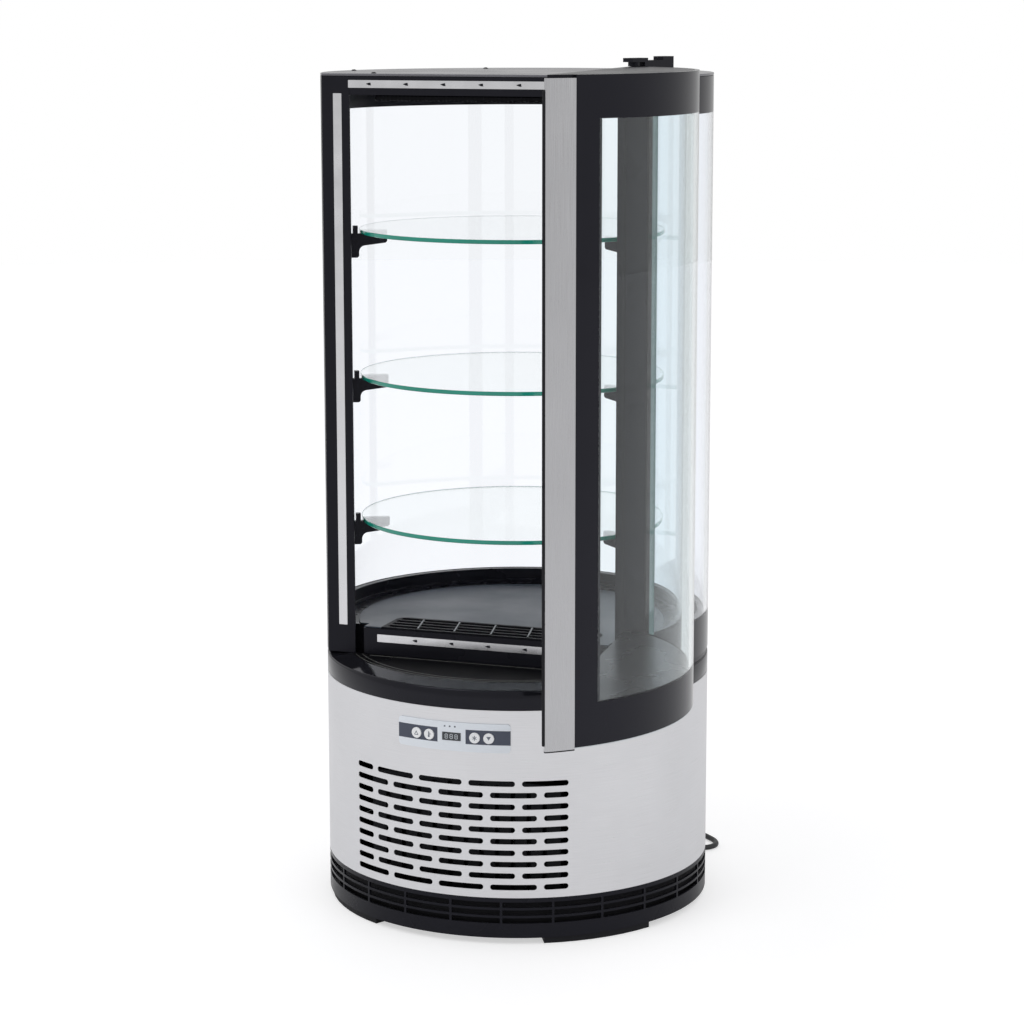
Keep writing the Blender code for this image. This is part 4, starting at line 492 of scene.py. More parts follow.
def box_outline(left, right, low, high, corner=0.0, steps=6):
    """A rectangle, with round corners if a corner radius is given."""
    if corner == 0:
        return [(left, low), (right, low), (right, high), (left, high)]
    points = []
    for index, (sx, sy) in enumerate(((1, -1), (1, 1), (-1, 1), (-1, -1))):
        cx = (right - corner) if sx > 0 else (left + corner)
        cy = (high - corner) if sy > 0 else (low + corner)
        for i in range(steps + 1):
            turn = math.radians(90) * (index - 1 + i / steps)
            points.append((cx + corner * math.cos(turn), cy + corner * math.sin(turn)))
    return points


def finish_piece(piece, finish, body, slot, *stood_for):
    """Gives a piece its finish, lets it ride on its body and stand for its CAD nodes."""
    piece.data.materials.append(finish.material)
    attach(piece, body)
    if stood_for:
        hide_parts(*stood_for)
    print(piece.name, "has", len(piece.data.polygons), "faces")
    return piece


# %% [markdown]
# The drum is stainless sheet brushed round its length. Brushing leaves fine scratches that are
# very long in one direction, so a noise stretched along the sheet makes them: it moves the
# roughness, the colour a little, and the bump a hair. The same recipe serves the other steel.

# %% Brushed stainless recipe
SCRATCH_SHARE = 0.65


def brushed_steel(name, colour, roughness, grain, uv=None):
    """Stainless sheet; grain is how densely the scratches lie along x, y and z, per metre."""
    steel = Finish(name, colour, roughness, metallic=1.0)
    scratches = steel.noise(steel.place(grain, uv), 1.0, detail=4)
    clouds = steel.noise(steel.place(uv=uv), 9.0, detail=2)
    steel.roughness_by(scratches, roughness - 0.07, roughness + 0.07)
    mixed = steel.reckon("MULTIPLY_ADD", scratches, SCRATCH_SHARE,
                         steel.reckon("MULTIPLY", clouds, 1 - SCRATCH_SHARE))
    steel.colour_by(steel.spread(mixed, 0, 1), shade(colour, 0.93), shade(colour, 1.06))
    steel.bump(scratches, 0.00006, 0.5)
    return steel


DRUM_STEEL = (0.79, 0.79, 0.81)
drum_steel = brushed_steel("brushed_drum_steel", DRUM_STEEL, 0.34, (18, 1900, 1), uv="metres")

# %% [markdown]
# Black parts are of two kinds. Mouldings have a very fine cast grain and a semi-gloss, and the
# steel posts and cover are powder coated with a slightly coarser orange peel. Neither is pure
# black: a touch of blue and a varied roughness keep their edges readable.

# %% Black moulding and black powder coat
def black_surface(name, colour, roughness, grain, depth, gloss=0.18):
    black = Finish(name, colour, roughness)
    fine = black.grain(grain, detail=2)
    broad = black.grain(14, detail=3)
    black.roughness_by(broad, roughness - 0.05, roughness + 0.06)
    black.colour_by(broad, shade(colour, 0.8), shade(colour, 1.25))
    black.set("Specular IOR Level", gloss)
    black.set("Specular Tint", (0.86, 0.86, 1, 1))
    black.bump(fine, depth, 0.6)
    return black


moulding = black_surface("black_moulding", (0.0085, 0.0085, 0.0115), 0.28, 1500, 0.00005)
powder_coat = black_surface("black_powder_coat", (0.0085, 0.0085, 0.0115), 0.34, 900, 0.00008)

# %% [markdown]
# The plinth is a moulded ring with three rows of air slots between upright ribs. It is cut flat
# with its seventy-two windows and rolled like the drum.

# %% Slotted plinth
PLINTH_TOP = 0.0497
PLINTH_RIBS = 24
PLINTH_RIB_WIDTH = 0.003
PLINTH_WALL = 0.003
PLINTH_ROWS = 3
PLINTH_WINDOW_LOW = 0.0181
PLINTH_ROW_PITCH = 0.0098
PLINTH_WINDOW_HEIGHT = 0.0068


def plinth_windows():
    pitch = math.tau * BODY_RADIUS / PLINTH_RIBS
    windows = []
    for row in range(PLINTH_ROWS):
        low = PLINTH_WINDOW_LOW + row * PLINTH_ROW_PITCH
        for index in range(PLINTH_RIBS):
            left = -math.pi * BODY_RADIUS + index * pitch + PLINTH_RIB_WIDTH / 2
            windows.append(box_outline(left, left + pitch - PLINTH_RIB_WIDTH, low, low + PLINTH_WINDOW_HEIGHT,
                                       0.0008, 2))
    return windows


half_round = math.pi * BODY_RADIUS
plinth_edge = box_outline(-half_round, half_round, 0, PLINTH_TOP)
plinth_wall = rolled_sheet("plinth_wall", [plinth_edge] + plinth_windows(), BODY_RADIUS, PLINTH_WALL)
finish_piece(plinth_wall, moulding, "case", "black_moulding", "plinth")

# %% [markdown]
# A turned piece is a profile spun round the axis. Seen from inside the case the plinth also has
# two level flanges, one over the feet and one under the drum.

# %% Turned pieces and the plinth's flanges
TURN_STEPS = 240
SMOOTH_TO = 25
FLANGE_RADIUS = 0.2369


def on_round(radius, angle):
    """A point of the round; angles run from the front (-Y) towards the right (+X)."""
    return radius * math.sin(angle), -radius * math.cos(angle)


def turned(name, profile, steps=TURN_STEPS, front=None):
    """Spins a closed profile of (radius, height) about the axis. With a front distance given, the
    piece stops at that upright plane on both sides, and the two cut ends are closed."""
    work = bmesh.new()
    rings = []
    for radius, height in profile:
        if radius == 0:
            rings.append([work.verts.new((0, 0, height))] * steps)
            continue
        start = 0 if front is None else math.acos(front / radius)
        sweep = math.tau if front is None else (math.tau - 2 * start) * steps / (steps - 1)
        turns = [start + sweep * i / steps for i in range(steps)]
        rings.append([work.verts.new((*on_round(radius, turn), height)) for turn in turns])
    for ring, following in zip(rings, rings[1:] + rings[:1]):
        if len(set(ring)) == 1 and len(set(following)) == 1:
            continue
        for i in range(steps if front is None else steps - 1):
            j = (i + 1) % steps
            corners = []
            for vert in (ring[i], ring[j], following[j], following[i]):
                if vert not in corners:
                    corners.append(vert)
            work.faces.new(corners)
    if front is not None:
        for end in (0, -1):
            work.faces.new([ring[end] for ring in rings])
    bmesh.ops.recalc_face_normals(work, faces=work.faces)
    return stand(name, mesh_from(work, name, SMOOTH_TO))


for flange_name, low, high, inner in (("plinth_flange_lower", 0.0003, 0.0020, 0.217),
                                      ("plinth_flange_upper", 0.0472, 0.0495, 0.223)):
    flange = turned(flange_name, [(inner, high), (FLANGE_RADIUS, high), (FLANGE_RADIUS, low), (inner, low)])
    finish_piece(flange, moulding, "case", "black_moulding")

# %% [markdown]
# The drum shell is one sheet with ten rows of round-ended vents at the front, a window for the
# controls and a large opening at the back. The short vent of each row changes sides from row to
# row, so the rows end in a zigzag. Inside, the steel's faces are painted near-black as painted shade,
# and a near-black ring of painted shade stands behind the plinth's slots, so that no light from the
# table shows through the vents.

# %% Drum shell with its vents
VENT_ROWS = 10
VENT_PITCH = 0.01424
VENT_LOWEST = 0.0598
VENT_HEIGHT = 0.0068
VENT_LONG = 0.0563
VENT_SHORT = 0.030
VENT_SPACING = 0.0084


def slot_outline(left, right, low, high, steps=8):
    """A slot with round ends."""
    return box_outline(left, right, low, high, (high - low) / 2 - 0.00001, steps)


def vent_outlines():
    outlines = []
    for row in range(VENT_ROWS):
        lengths = [VENT_LONG] * 4 + [VENT_SHORT]
        if row % 2:
            lengths.reverse()
        left = -(sum(lengths) + VENT_SPACING * 4) / 2
        low = VENT_LOWEST + row * VENT_PITCH
        for length in lengths:
            outlines.append(slot_outline(left, left + length, low, low + VENT_HEIGHT))
            left += length + VENT_SPACING
    return outlines


def round_hole(across, height, radius, steps):
    """A round hole in a flat sheet."""
    turns = [math.tau * i / steps for i in range(steps)]
    return [(across + radius * math.cos(turn), height + radius * math.sin(turn)) for turn in turns]


SHEET_SEAM = -0.50
SHEET_STEEL = 0.001
SHELL_LOW = 0.050
SHELL_HIGH = 0.2809
REAR_HALF = 0.085
REAR_OPENING = (0.080, 0.230)
GLAND_HOLE = 0.0073
shell_edge = box_outline(SHEET_SEAM, SHEET_SEAM + math.tau * BODY_RADIUS, SHELL_LOW, SHELL_HIGH)
controls_window = box_outline(-0.057, 0.063, 0.2341, 0.2601, 0.004)
rear_opening = box_outline(half_round - REAR_HALF, half_round + REAR_HALF, *REAR_OPENING, 0.006)
gland_hole = round_hole(GLAND_ANGLE * BODY_RADIUS, GLAND_HEIGHT, GLAND_HOLE, 32)
shell_holes = [controls_window, rear_opening, gland_hole] + vent_outlines()
drum_shell = rolled_sheet("drum_shell", [shell_edge] + shell_holes, BODY_RADIUS, SHEET_STEEL)
finish_piece(drum_shell, drum_steel, "case", "drum_steel", "drum_shell")
# The drum's inner faces take a near-black finish: painted shade, so that the vents look dark inside.
shade_lining = black_surface("painted_shade_lining", (0.012, 0.012, 0.013), 0.6, 300, 0.0002, gloss=0.1)
drum_shell.data.materials.append(shade_lining.material)
for face in drum_shell.data.polygons:
    outward = face.normal.x * face.center.x + face.normal.y * face.center.y
    if outward < 0 and abs(face.normal.z) < 0.1 and face.area > 0.0000012:
        face.material_index = 1
# A near-black ring behind the plinth's slots: painted shade, a dark sheet where the plinth's inside lies in
# shade.
SHADE_RING_INNER, SHADE_RING_OUTER = 0.2270, 0.2278
SHADE_RING_LOW, SHADE_RING_HIGH = 0.0022, 0.0470
shade_ring = turned("plinth_shade_ring", [(SHADE_RING_INNER, SHADE_RING_LOW), (SHADE_RING_OUTER, SHADE_RING_LOW), (SHADE_RING_OUTER, SHADE_RING_HIGH),
                              (SHADE_RING_INNER, SHADE_RING_HIGH)])
finish_piece(shade_ring, shade_lining, "case", "black_moulding")

# %% [markdown]
# The back panel is the same sheet, set flush in the shell's opening, with five long vents. A
# narrow lip behind it bears on the shell's inside. Four screws hold it.

# %% Rear service panel
REAR_VENT_LENGTH = 0.120
REAR_VENT_PITCH = 0.022
rear_middle = (REAR_OPENING[0] + REAR_OPENING[1]) / 2


def rear_box(margin, corner, half):
    """A rectangle about the rear opening: margin above and below it, and half wide each side."""
    return box_outline(half_round - half, half_round + half, REAR_OPENING[0] - margin,
                       REAR_OPENING[1] + margin, corner)


rear_vents = [slot_outline(half_round - REAR_VENT_LENGTH / 2, half_round + REAR_VENT_LENGTH / 2,
                           rear_middle + row * REAR_VENT_PITCH - VENT_HEIGHT / 2,
                           rear_middle + row * REAR_VENT_PITCH + VENT_HEIGHT / 2) for row in range(-2, 3)]
rear_panel = rolled_sheet("rear_panel", [rear_box(-0.0003, 0.0058, 0.0847)] + rear_vents,
                          BODY_RADIUS, SHEET_STEEL)
finish_piece(rear_panel, drum_steel, "case", "drum_steel", "rear_panel")
panel_lip = rolled_sheet("rear_panel_lip", [rear_box(0.006, 0.006, 0.091), rear_box(-0.007, 0.004, 0.078)],
                         BODY_RADIUS - SHEET_STEEL - 0.0003, 0.0009)
finish_piece(panel_lip, drum_steel, "case", "drum_steel")

# %% [markdown]
# Behind the rear vents lies a dark dust mesh, as condensers have. It is a thin sheet whose weave
# is in the material: two crossed waves raise and lower it, and no light is seen through it.

# %% Dust mesh behind the rear vents
dust_mesh = Finish("dust_mesh", (0.010, 0.010, 0.011), 0.7)
dust_mesh.set("Specular IOR Level", 0.1)
weave_place = dust_mesh.place(uv="metres")
weave = []
for direction in ("X", "Y"):
    threads = dust_mesh.node("ShaderNodeTexWave", wave_type="BANDS", bands_direction=direction)
    threads.inputs["Scale"].default_value = 160
    dust_mesh.link(weave_place, threads.inputs["Vector"])
    weave.append(threads.outputs["Fac"])
crossed = dust_mesh.reckon("MAXIMUM", *weave)
dust_mesh.colour_by(crossed, (0.004, 0.004, 0.004), (0.018, 0.018, 0.019))
dust_mesh.bump(crossed, 0.0004)
dust_sheet = rolled_sheet("dust_mesh", [rear_box(-0.006, 0.004, 0.074)], BODY_RADIUS - 0.0024, 0.0006)
finish_piece(dust_sheet, dust_mesh, "case", "inner_metal")

# %% [markdown]
# Small screws hold the panel and the cover. Each is a turned pan head with a cross recess made
# by lowering the middle of a crossed grid, so the head catches the light as a real one does.

# %% Pan-head screws
SCREW_RADIUS = 0.0034
SCREW_HEIGHT = 0.0016
SCREW_STEPS = 32
SCREW_RIM = 0.0004
RECESS_DEPTH = 0.0007
RECESS_REACH = 0.6
RECESS_HALF_WIDTH = 0.13
screw_steel = brushed_steel("screw_steel", (0.42, 0.42, 0.43), 0.3, (600, 600, 600))
screw_black = black_surface("screw_black", (0.014, 0.014, 0.016), 0.34, 1200, 0.00005)


def screw_mesh(name):
    """A low domed head with a cross recess; the underside is level at z = 0."""
    work = bmesh.new()
    rings = []
    for share in (0.0, 0.12, 0.24, 0.45, 0.62, 0.8, 0.93, 1.0):
        ring = []
        for i in range(SCREW_STEPS):
            turn = math.tau * i / SCREW_STEPS
            height = SCREW_HEIGHT * (1 - share ** 3) if share < 1 else SCREW_RIM
            near_arm = min(abs(math.sin(turn)), abs(math.cos(turn))) * share < RECESS_HALF_WIDTH
            if near_arm and share < RECESS_REACH:
                height -= RECESS_DEPTH
            radius = SCREW_RADIUS * share
            ring.append(work.verts.new((radius * math.cos(turn), radius * math.sin(turn), height)))
        rings.append(ring)
    rings.append([work.verts.new((vert.co.x, vert.co.y, 0)) for vert in rings[-1]])
    for inner, outer_ring in zip(rings, rings[1:]):
        for i in range(SCREW_STEPS):
            j = (i + 1) % SCREW_STEPS
            work.faces.new((inner[i], inner[j], outer_ring[j], outer_ring[i])[::-1])
    work.faces.new(rings[-1][::-1])
    bmesh.ops.remove_doubles(work, verts=work.verts, dist=0.0000001)
    bmesh.ops.recalc_face_normals(work, faces=work.faces)
    return mesh_from(work, name, 35)


def place_screw(name, place, out, finish, slot):
    """A screw head whose flat side lies at place and whose crown points along out."""
    screw = stand(name, screw_mesh(name))
    screw.matrix_world = Matrix.Translation(place) @ Vector(out).to_track_quat("Z", "Y").to_matrix().to_4x4()
    return finish_piece(screw, finish, "case", slot)


for index, (across, height) in enumerate(((-0.077, 0.088), (0.077, 0.088), (-0.077, 0.222), (0.077, 0.222))):
    outward = Vector((*on_round(1, math.pi + across / BODY_RADIUS), 0))
    seat = outward * (BODY_RADIUS - 0.0002) + Vector((0, 0, height))
    place_screw("panel_screw_%d" % index, seat, outward, screw_steel, "drum_steel")

# %% [markdown]
# The controls sit on a bent pale panel with four round push buttons and a small numeral window.
# Two dark slate fields run to the panel's ends behind the buttons, and three small marks stand
# above. Like printing on a real panel, they are made in the panel's material: steps along its
# length and height pick the colour.

# %% Control panel with printed fields
FASCIA_LOW = 0.2296
FASCIA_HIGH = 0.2646
FASCIA_MIDDLE = 0.2471
FASCIA_OUTER = 0.2418
FASCIA_HALF = 0.0716 * FASCIA_OUTER / BODY_RADIUS
FASCIA_SHIFT = 0.003
FASCIA_THICKNESS = 0.0015
BUTTON_RADIUS = 0.0065
BUTTON_CLEARANCE = 0.0003
NUMERALS_HALF_WIDTH = 0.0118
NUMERALS_HALF_HEIGHT = 0.0050
BUTTON_ARCS = {"button_up": FASCIA_SHIFT - 0.0457, "button_set": FASCIA_SHIFT - 0.0287,
               "button_defrost": FASCIA_SHIFT + 0.0287, "button_down": FASCIA_SHIFT + 0.0457}
BAND_HEIGHT = 0.0176
BAND_RISE = 0.0008
BAND_INNER = 0.0178
PRINT_SLATE = (0.060, 0.070, 0.105)
MARK_RISE = 0.0122
MARK_PLACES = (-0.0085, -0.002, 0.0045)
MARK_HALF_WIDTH = 0.001
MARK_HALF_HEIGHT = 0.0009
arc_scale = FASCIA_OUTER / BODY_RADIUS
fascia_holes = [round_hole(place * arc_scale, FASCIA_MIDDLE, BUTTON_RADIUS + BUTTON_CLEARANCE, 40)
                for place in BUTTON_ARCS.values()]
middle = FASCIA_SHIFT * arc_scale
fascia_holes.append(box_outline(middle - NUMERALS_HALF_WIDTH, middle + NUMERALS_HALF_WIDTH,
                                FASCIA_MIDDLE - NUMERALS_HALF_HEIGHT, FASCIA_MIDDLE + NUMERALS_HALF_HEIGHT))
fascia_edge = box_outline(middle - FASCIA_HALF, middle + FASCIA_HALF, FASCIA_LOW, FASCIA_HIGH, 0.004, 8)
fascia = rolled_sheet("control_fascia", [fascia_edge] + fascia_holes, FASCIA_OUTER, FASCIA_THICKNESS,
                      step=math.radians(1))
panel_grey = Finish("pale_panel", (0.82, 0.86, 0.92), 0.38)
panel_place = panel_grey.node("ShaderNodeSeparateXYZ")
panel_grey.link(panel_grey.place(uv="metres"), panel_place.inputs[0])
centred = panel_grey.reckon("SUBTRACT", panel_place.outputs["X"], middle)


def printed_box(across, left, right, centre, half_height):
    """1 inside a printed rectangle, from left to right and half_height above and below centre."""
    level = masked(panel_grey, panel_place.outputs["Y"], centre - half_height, centre + half_height)
    return panel_grey.reckon("MULTIPLY", masked(panel_grey, across, left, right), level)


either_side = panel_grey.reckon("ABSOLUTE", centred)
printed = printed_box(either_side, BAND_INNER, 1, FASCIA_MIDDLE + BAND_RISE, BAND_HEIGHT / 2)
for centre in MARK_PLACES:
    mark = printed_box(centred, centre - MARK_HALF_WIDTH, centre + MARK_HALF_WIDTH,
                       FASCIA_MIDDLE + MARK_RISE, MARK_HALF_HEIGHT)
    printed = panel_grey.reckon("MAXIMUM", printed, mark)
panel_grain = panel_grey.grain(420)
plain = panel_grey.tint(panel_grain, (0.80, 0.84, 0.90), (0.84, 0.88, 0.94))
panel_grey.colour_by(printed, plain, PRINT_SLATE)
panel_grey.roughness_by(panel_grain, 0.32, 0.44)
panel_grey.bump(panel_grain, 0.00005, 0.5)
finish_piece(fascia, panel_grey, "case", "panel_grey", "control_fascia")

# %% [markdown]
# Each push button is a turned cap with a rounded rim and a slightly hollow face. Its picture, a
# raised arrowhead, a thermometer or a crossed grid, is a thin piece laid on the face and moves
# with the button.

# %% Push buttons and their pictures
BUTTON_TIP = FASCIA_OUTER + 0.0012
BUTTON_BACK = 0.0095
BUTTON_PROFILE = [(0, 0.0), (0.0045, 0.0), (0.0059, 0.00015), (0.0064, -0.0001), (BUTTON_RADIUS, -0.0006),
                  (BUTTON_RADIUS, -BUTTON_BACK), (0, -BUTTON_BACK)]
ICON_THICKNESS = 0.00025
ICON_STEP = 0.00002
button_white = mottled("button_white", (0.93, 0.94, 0.96), 0.32, 900, (0.91, 0.92, 0.945),
                       (0.96, 0.965, 0.98), rough=(0.27, 0.38))
button_ink = mottled("button_ink", (0.16, 0.18, 0.22), 0.4, 800, (0.13, 0.15, 0.19), (0.19, 0.21, 0.25))


def on_wall(angle, radius, height):
    """A frame on the round wall: its Z points outwards, its X to the right and its Y up."""
    turn = Matrix.Rotation(angle, 4, "Z") @ Matrix.Rotation(math.radians(90), 4, "X")
    return Matrix.Translation((*on_round(radius, angle), height)) @ turn


def icon_bars(kind):
    """The button pictures as bars: middle x, middle y, length, width and turn in degrees."""
    if kind == "button_up":
        return [(-0.00115, 0.0, 0.0052, 0.0007, 60), (0.00115, 0.0, 0.0052, 0.0007, -60),
                (0.0, -0.00215, 0.0052, 0.0007, 0)]
    if kind == "button_set":
        return [(0.0, 0.0006, 0.0056, 0.0013, 90), (0.0, -0.0022, 0.0022, 0.0022, 0),
                (0.0016, 0.0014, 0.0012, 0.0006, 0), (0.0016, 0.0, 0.0012, 0.0006, 0)]
    if kind == "button_defrost":
        return [(0.0, 0.0, 0.006, 0.0006, turn) for turn in (30, 90, 150)] + [
            (0.0, 0.0, 0.0024, 0.0006, 0), (0.0, 0.0017, 0.0016, 0.0006, 0),
            (0.0, -0.0017, 0.0016, 0.0006, 0)]
    return [(0.0, 0.0020 - 0.00072 * row, 0.0050 - 0.0009 * row, 0.00076, 0) for row in range(6)]


def icon_mesh(kind):
    work = bmesh.new()
    for index, (x, y, length, width, degrees) in enumerate(icon_bars(kind)):
        bar = bmesh.ops.create_cube(work, size=1)["verts"]
        place = Matrix.Translation((x, y, ICON_STEP * (index % 4)))
        turn = Matrix.Rotation(math.radians(degrees), 4, "Z")
        size = Matrix.Diagonal((length, width, ICON_THICKNESS, 1))
        bmesh.ops.transform(work, matrix=place @ turn @ size, verts=bar)
    return mesh_from(work, kind + "_picture")


for button_name, place in BUTTON_ARCS.items():
    cap = turned(button_name + "_cap", BUTTON_PROFILE, 48)
    cap.matrix_world = on_wall(place / BODY_RADIUS, BUTTON_TIP - 0.00016, FASCIA_MIDDLE)
    finish_piece(cap, button_white, button_name, "button_white", button_name)
    icon = stand(button_name + "_picture", icon_mesh(button_name))
    icon.matrix_world = on_wall(place / BODY_RADIUS, BUTTON_TIP - 0.00014, FASCIA_MIDDLE)
    finish_piece(icon, button_ink, button_name, "button_white")

# %% [markdown]
# The numeral window is smoked plastic with three lit numerals at its face. Seven short bars
# make a numeral, and here all seven are lit, as when such a display is switched on.

# %% Numeral window
DISPLAY_FRONT = FASCIA_OUTER + 0.0004
window_dark = mottled("display_window", (0.045, 0.050, 0.058), 0.16, 300, (0.038, 0.043, 0.050),
                      (0.052, 0.058, 0.066), rough=(0.12, 0.2))
nodes["display"].data.materials.clear()
nodes["display"].data.materials.append(window_dark.material)
digit_glow = mottled("numeral_bars", (0.60, 0.64, 0.68), 0.35, 900, (0.55, 0.59, 0.63), (0.66, 0.70, 0.74))
NUMERAL_PITCH = 0.0062
NUMERAL_HALF_WIDTH = 0.0016
NUMERAL_HALF_HEIGHT = 0.0026
SEGMENTS = [(0, 1, 1), (0, 0, 1), (0, -1, 1), (-1, 0.5, 0), (1, 0.5, 0), (-1, -0.5, 0), (1, -0.5, 0)]
numerals = bmesh.new()
for digit in range(3):
    for sx, sy, level in SEGMENTS:
        centre = Vector(((digit - 1) * NUMERAL_PITCH + sx * NUMERAL_HALF_WIDTH, 0, sy * NUMERAL_HALF_HEIGHT))
        size = (0.0026, 0.00016, 0.0007) if level else (0.0007, 0.00016, 0.0021)
        bar = bmesh.ops.create_cube(numerals, size=1)["verts"]
        place = Matrix.Translation(centre + Vector((0, -DISPLAY_FRONT, FASCIA_MIDDLE)))
        turn = Matrix.Rotation(FASCIA_SHIFT / BODY_RADIUS, 4, "Z")
        bmesh.ops.transform(numerals, matrix=turn @ place @ Matrix.Diagonal((*size, 1)), verts=bar)
display_numerals = stand("display_numerals", mesh_from(numerals, "display_numerals"))
finish_piece(display_numerals, digit_glow, "case", "display_window")

# %% [markdown]
# Above the drum everything has the same plan: a round with its front cut off flat. Plates with
# that plan are drawn as a flat outline, given a thickness, and get a hair of bevel on their edges.

# %% Plates with the case's plan
OPENING = 0.120
POST_BACK = 0.102
FINE_TURN = math.radians(1.25)


def arc_points(radius, start, end):
    """Points of an arc; angles run from the front (-Y) towards the right (+X)."""
    steps = max(2, round(abs(end - start) / FINE_TURN))
    return [on_round(radius, start + (end - start) * i / steps) for i in range(steps + 1)]


def cut_round(radius, front, half_width=None, corner_depth=0.0):
    """A round cut by the opening plane, with optional narrower front corners."""
    if half_width is None:
        turn = math.acos(front / radius)
        return arc_points(radius, turn, math.tau - turn)
    turn = math.acos(corner_depth / radius)
    return ([(-half_width, -corner_depth), (-half_width, -front), (half_width, -front),
             (half_width, -corner_depth)] + arc_points(radius, turn, math.tau - turn))


def plate(name, outlines, low, high, edge=0.0005):
    """A flat plate between two heights with slightly rounded edges."""
    work = flat_sheet(outlines)
    for vert in work.verts:
        vert.co.z = low
    lifted = bmesh.ops.extrude_face_region(work, geom=work.faces[:])
    for item in lifted["geom"]:
        if isinstance(item, bmesh.types.BMVert):
            item.co.z = high
    bmesh.ops.recalc_face_normals(work, faces=work.faces)
    bmesh.ops.dissolve_limit(work, angle_limit=math.radians(0.05), verts=work.verts, edges=work.edges)
    piece = stand(name, mesh_from(work, name, SMOOTH_TO))
    return round_edges(piece, edge) if edge else piece


def round_edges(piece, width, segments=2):
    """A small bevel on the sharp edges only."""
    soften = piece.modifiers.new("rounded edges", "BEVEL")
    soften.width = width
    soften.segments = segments
    soften.limit_method = "ANGLE"
    soften.angle_limit = math.radians(40)
    soften.harden_normals = True
    return piece


# %% [markdown]
# The collar closes the drum. From its upright wall a rounded edge leads to a shoulder that rises
# to the ledge where the door sweeps. Its top is a moulded plate with the well's opening cut in it.
# Along the ledge run three thin beads painted pale, a painted highlight for the light that the ledge's
# rounded edges and joint catch.

# %% Collar with its sloping shoulder
gloss_moulding = black_surface("glossy_moulding", (0.0075, 0.0075, 0.0100), 0.09, 1500, 0.000003, gloss=0.26)
collar = turned("collar", [
    (0.2120, 0.3090), (0.2126, 0.3093), (0.2134, 0.30935), (0.2141, 0.3090), (0.2377, 0.30524),
    (0.2388, 0.30478), (0.2395, 0.3041), (0.2400, 0.3030), (0.2400, 0.2818), (0.2398, 0.2812),
    (0.2360, 0.2812), (0.2360, 0.3000), (0.2120, 0.3055)])
finish_piece(collar, gloss_moulding, "case", "black_moulding", "collar")
LEDGE_RADIUS = 0.212
LEDGE_LOW = 0.3055
LEDGE_TOP = 0.3090
BEAD_SUNK = 0.0001
BEAD_RISE = 0.00025
BEAD_WIDTH = 0.0007
ledge = plate("collar_ledge", [round_hole(0, 0, LEDGE_RADIUS, TURN_STEPS), cut_round(0.206, 0.1185)],
              LEDGE_LOW, LEDGE_TOP, edge=0)
ledge_moulding = black_surface("ledge_moulding", (0.0060, 0.0060, 0.0070), 0.30, 900, 0.00002, gloss=0.02)
finish_piece(ledge, ledge_moulding, "case", "black_moulding")
# The beads and the joint line are painted pale grey: a painted highlight along the ledge's edges.
painted_ledge_highlight = black_surface("painted_ledge_highlight", (0.17, 0.17, 0.16), 0.30, 260, 0.00002, gloss=0.6)
bead_outlines = {}
for bead_name, radius in (("ledge_bead_outer", 0.2105), ("ledge_bead_inner", 0.2030)):
    bead_outlines[bead_name] = (arc_points(radius, -0.92, 0.50)
                                + arc_points(radius - BEAD_WIDTH, -0.92, 0.50)[::-1])
bead_outlines["ledge_joint"] = box_outline(-0.150, 0.150, -0.1262, -0.1254, 0.0002, 2)
for bead_name, outline in bead_outlines.items():
    bead = plate(bead_name, [outline], LEDGE_TOP - BEAD_SUNK, LEDGE_TOP + BEAD_RISE, edge=0)
    finish_piece(bead, painted_ledge_highlight, "case", "black_moulding")

# %% [markdown]
# The housing under the deck is one insulated moulding: a block with a stepped front and a tub that
# hangs into the drum. The deck plate lies on it, with the air grille let into the plate.

# %% Deck housing, deck plate and grille
DECK_TOP = 0.344
DECK_LOW = 0.3425
RING_END = 0.1017
TUB_LOW = 0.232
TUB_FLOOR = 0.247
HOUSING_LOW = 0.3093
HOUSING_TOP = 0.3422
block_edge = cut_round(0.2215, OPENING, 0.160, RING_END)
tub_edge = cut_round(0.2035, 0.116, 0.156, RING_END)
tub_hollow = cut_round(0.190, 0.1025, 0.1425, 0.0882)
housing = plate("deck_housing", [block_edge, tub_hollow], HOUSING_LOW, HOUSING_TOP)
finish_piece(housing, moulding, "case", "black_moulding", "deck_housing")
tub = plate("deck_tub", [tub_edge], TUB_LOW, TUB_FLOOR)
finish_piece(tub, moulding, "case", "black_moulding")
tub_wall = plate("deck_tub_wall", [tub_edge, tub_hollow], TUB_FLOOR, HOUSING_LOW, edge=0)
finish_piece(tub_wall, moulding, "case", "black_moulding")

GRILLE_HALF = 0.137
RIB_PITCH = 0.048
RIB_SLANT = math.tan(math.radians(-13))
GRILLE_BACK = 0.057
GRILLE_CORNER = 0.015
GRILLE_CLEARANCE = 0.0003
GRILLE_PROUD = 0.0008
GRILLE_BAR = 0.005
GRILLE_RIB = 0.003
DECK_RADIUS = 0.200
DECK_HALF = 0.160


def grille_edge(inset):
    """A rectangle whose two rear corners are rounded, drawn smaller by inset."""
    half = GRILLE_HALF - inset
    back = -GRILLE_BACK - inset
    radius = GRILLE_CORNER - inset
    points = [(-half, -OPENING + inset), (half, -OPENING + inset)]
    for side in (1, -1):
        turns = [math.radians(90) * i / 12 for i in range(13)]
        bend = [(side * (half - radius + radius * math.cos(turn)), back - radius + radius * math.sin(turn))
                for turn in turns]
        points += bend if side > 0 else bend[::-1]
    return points


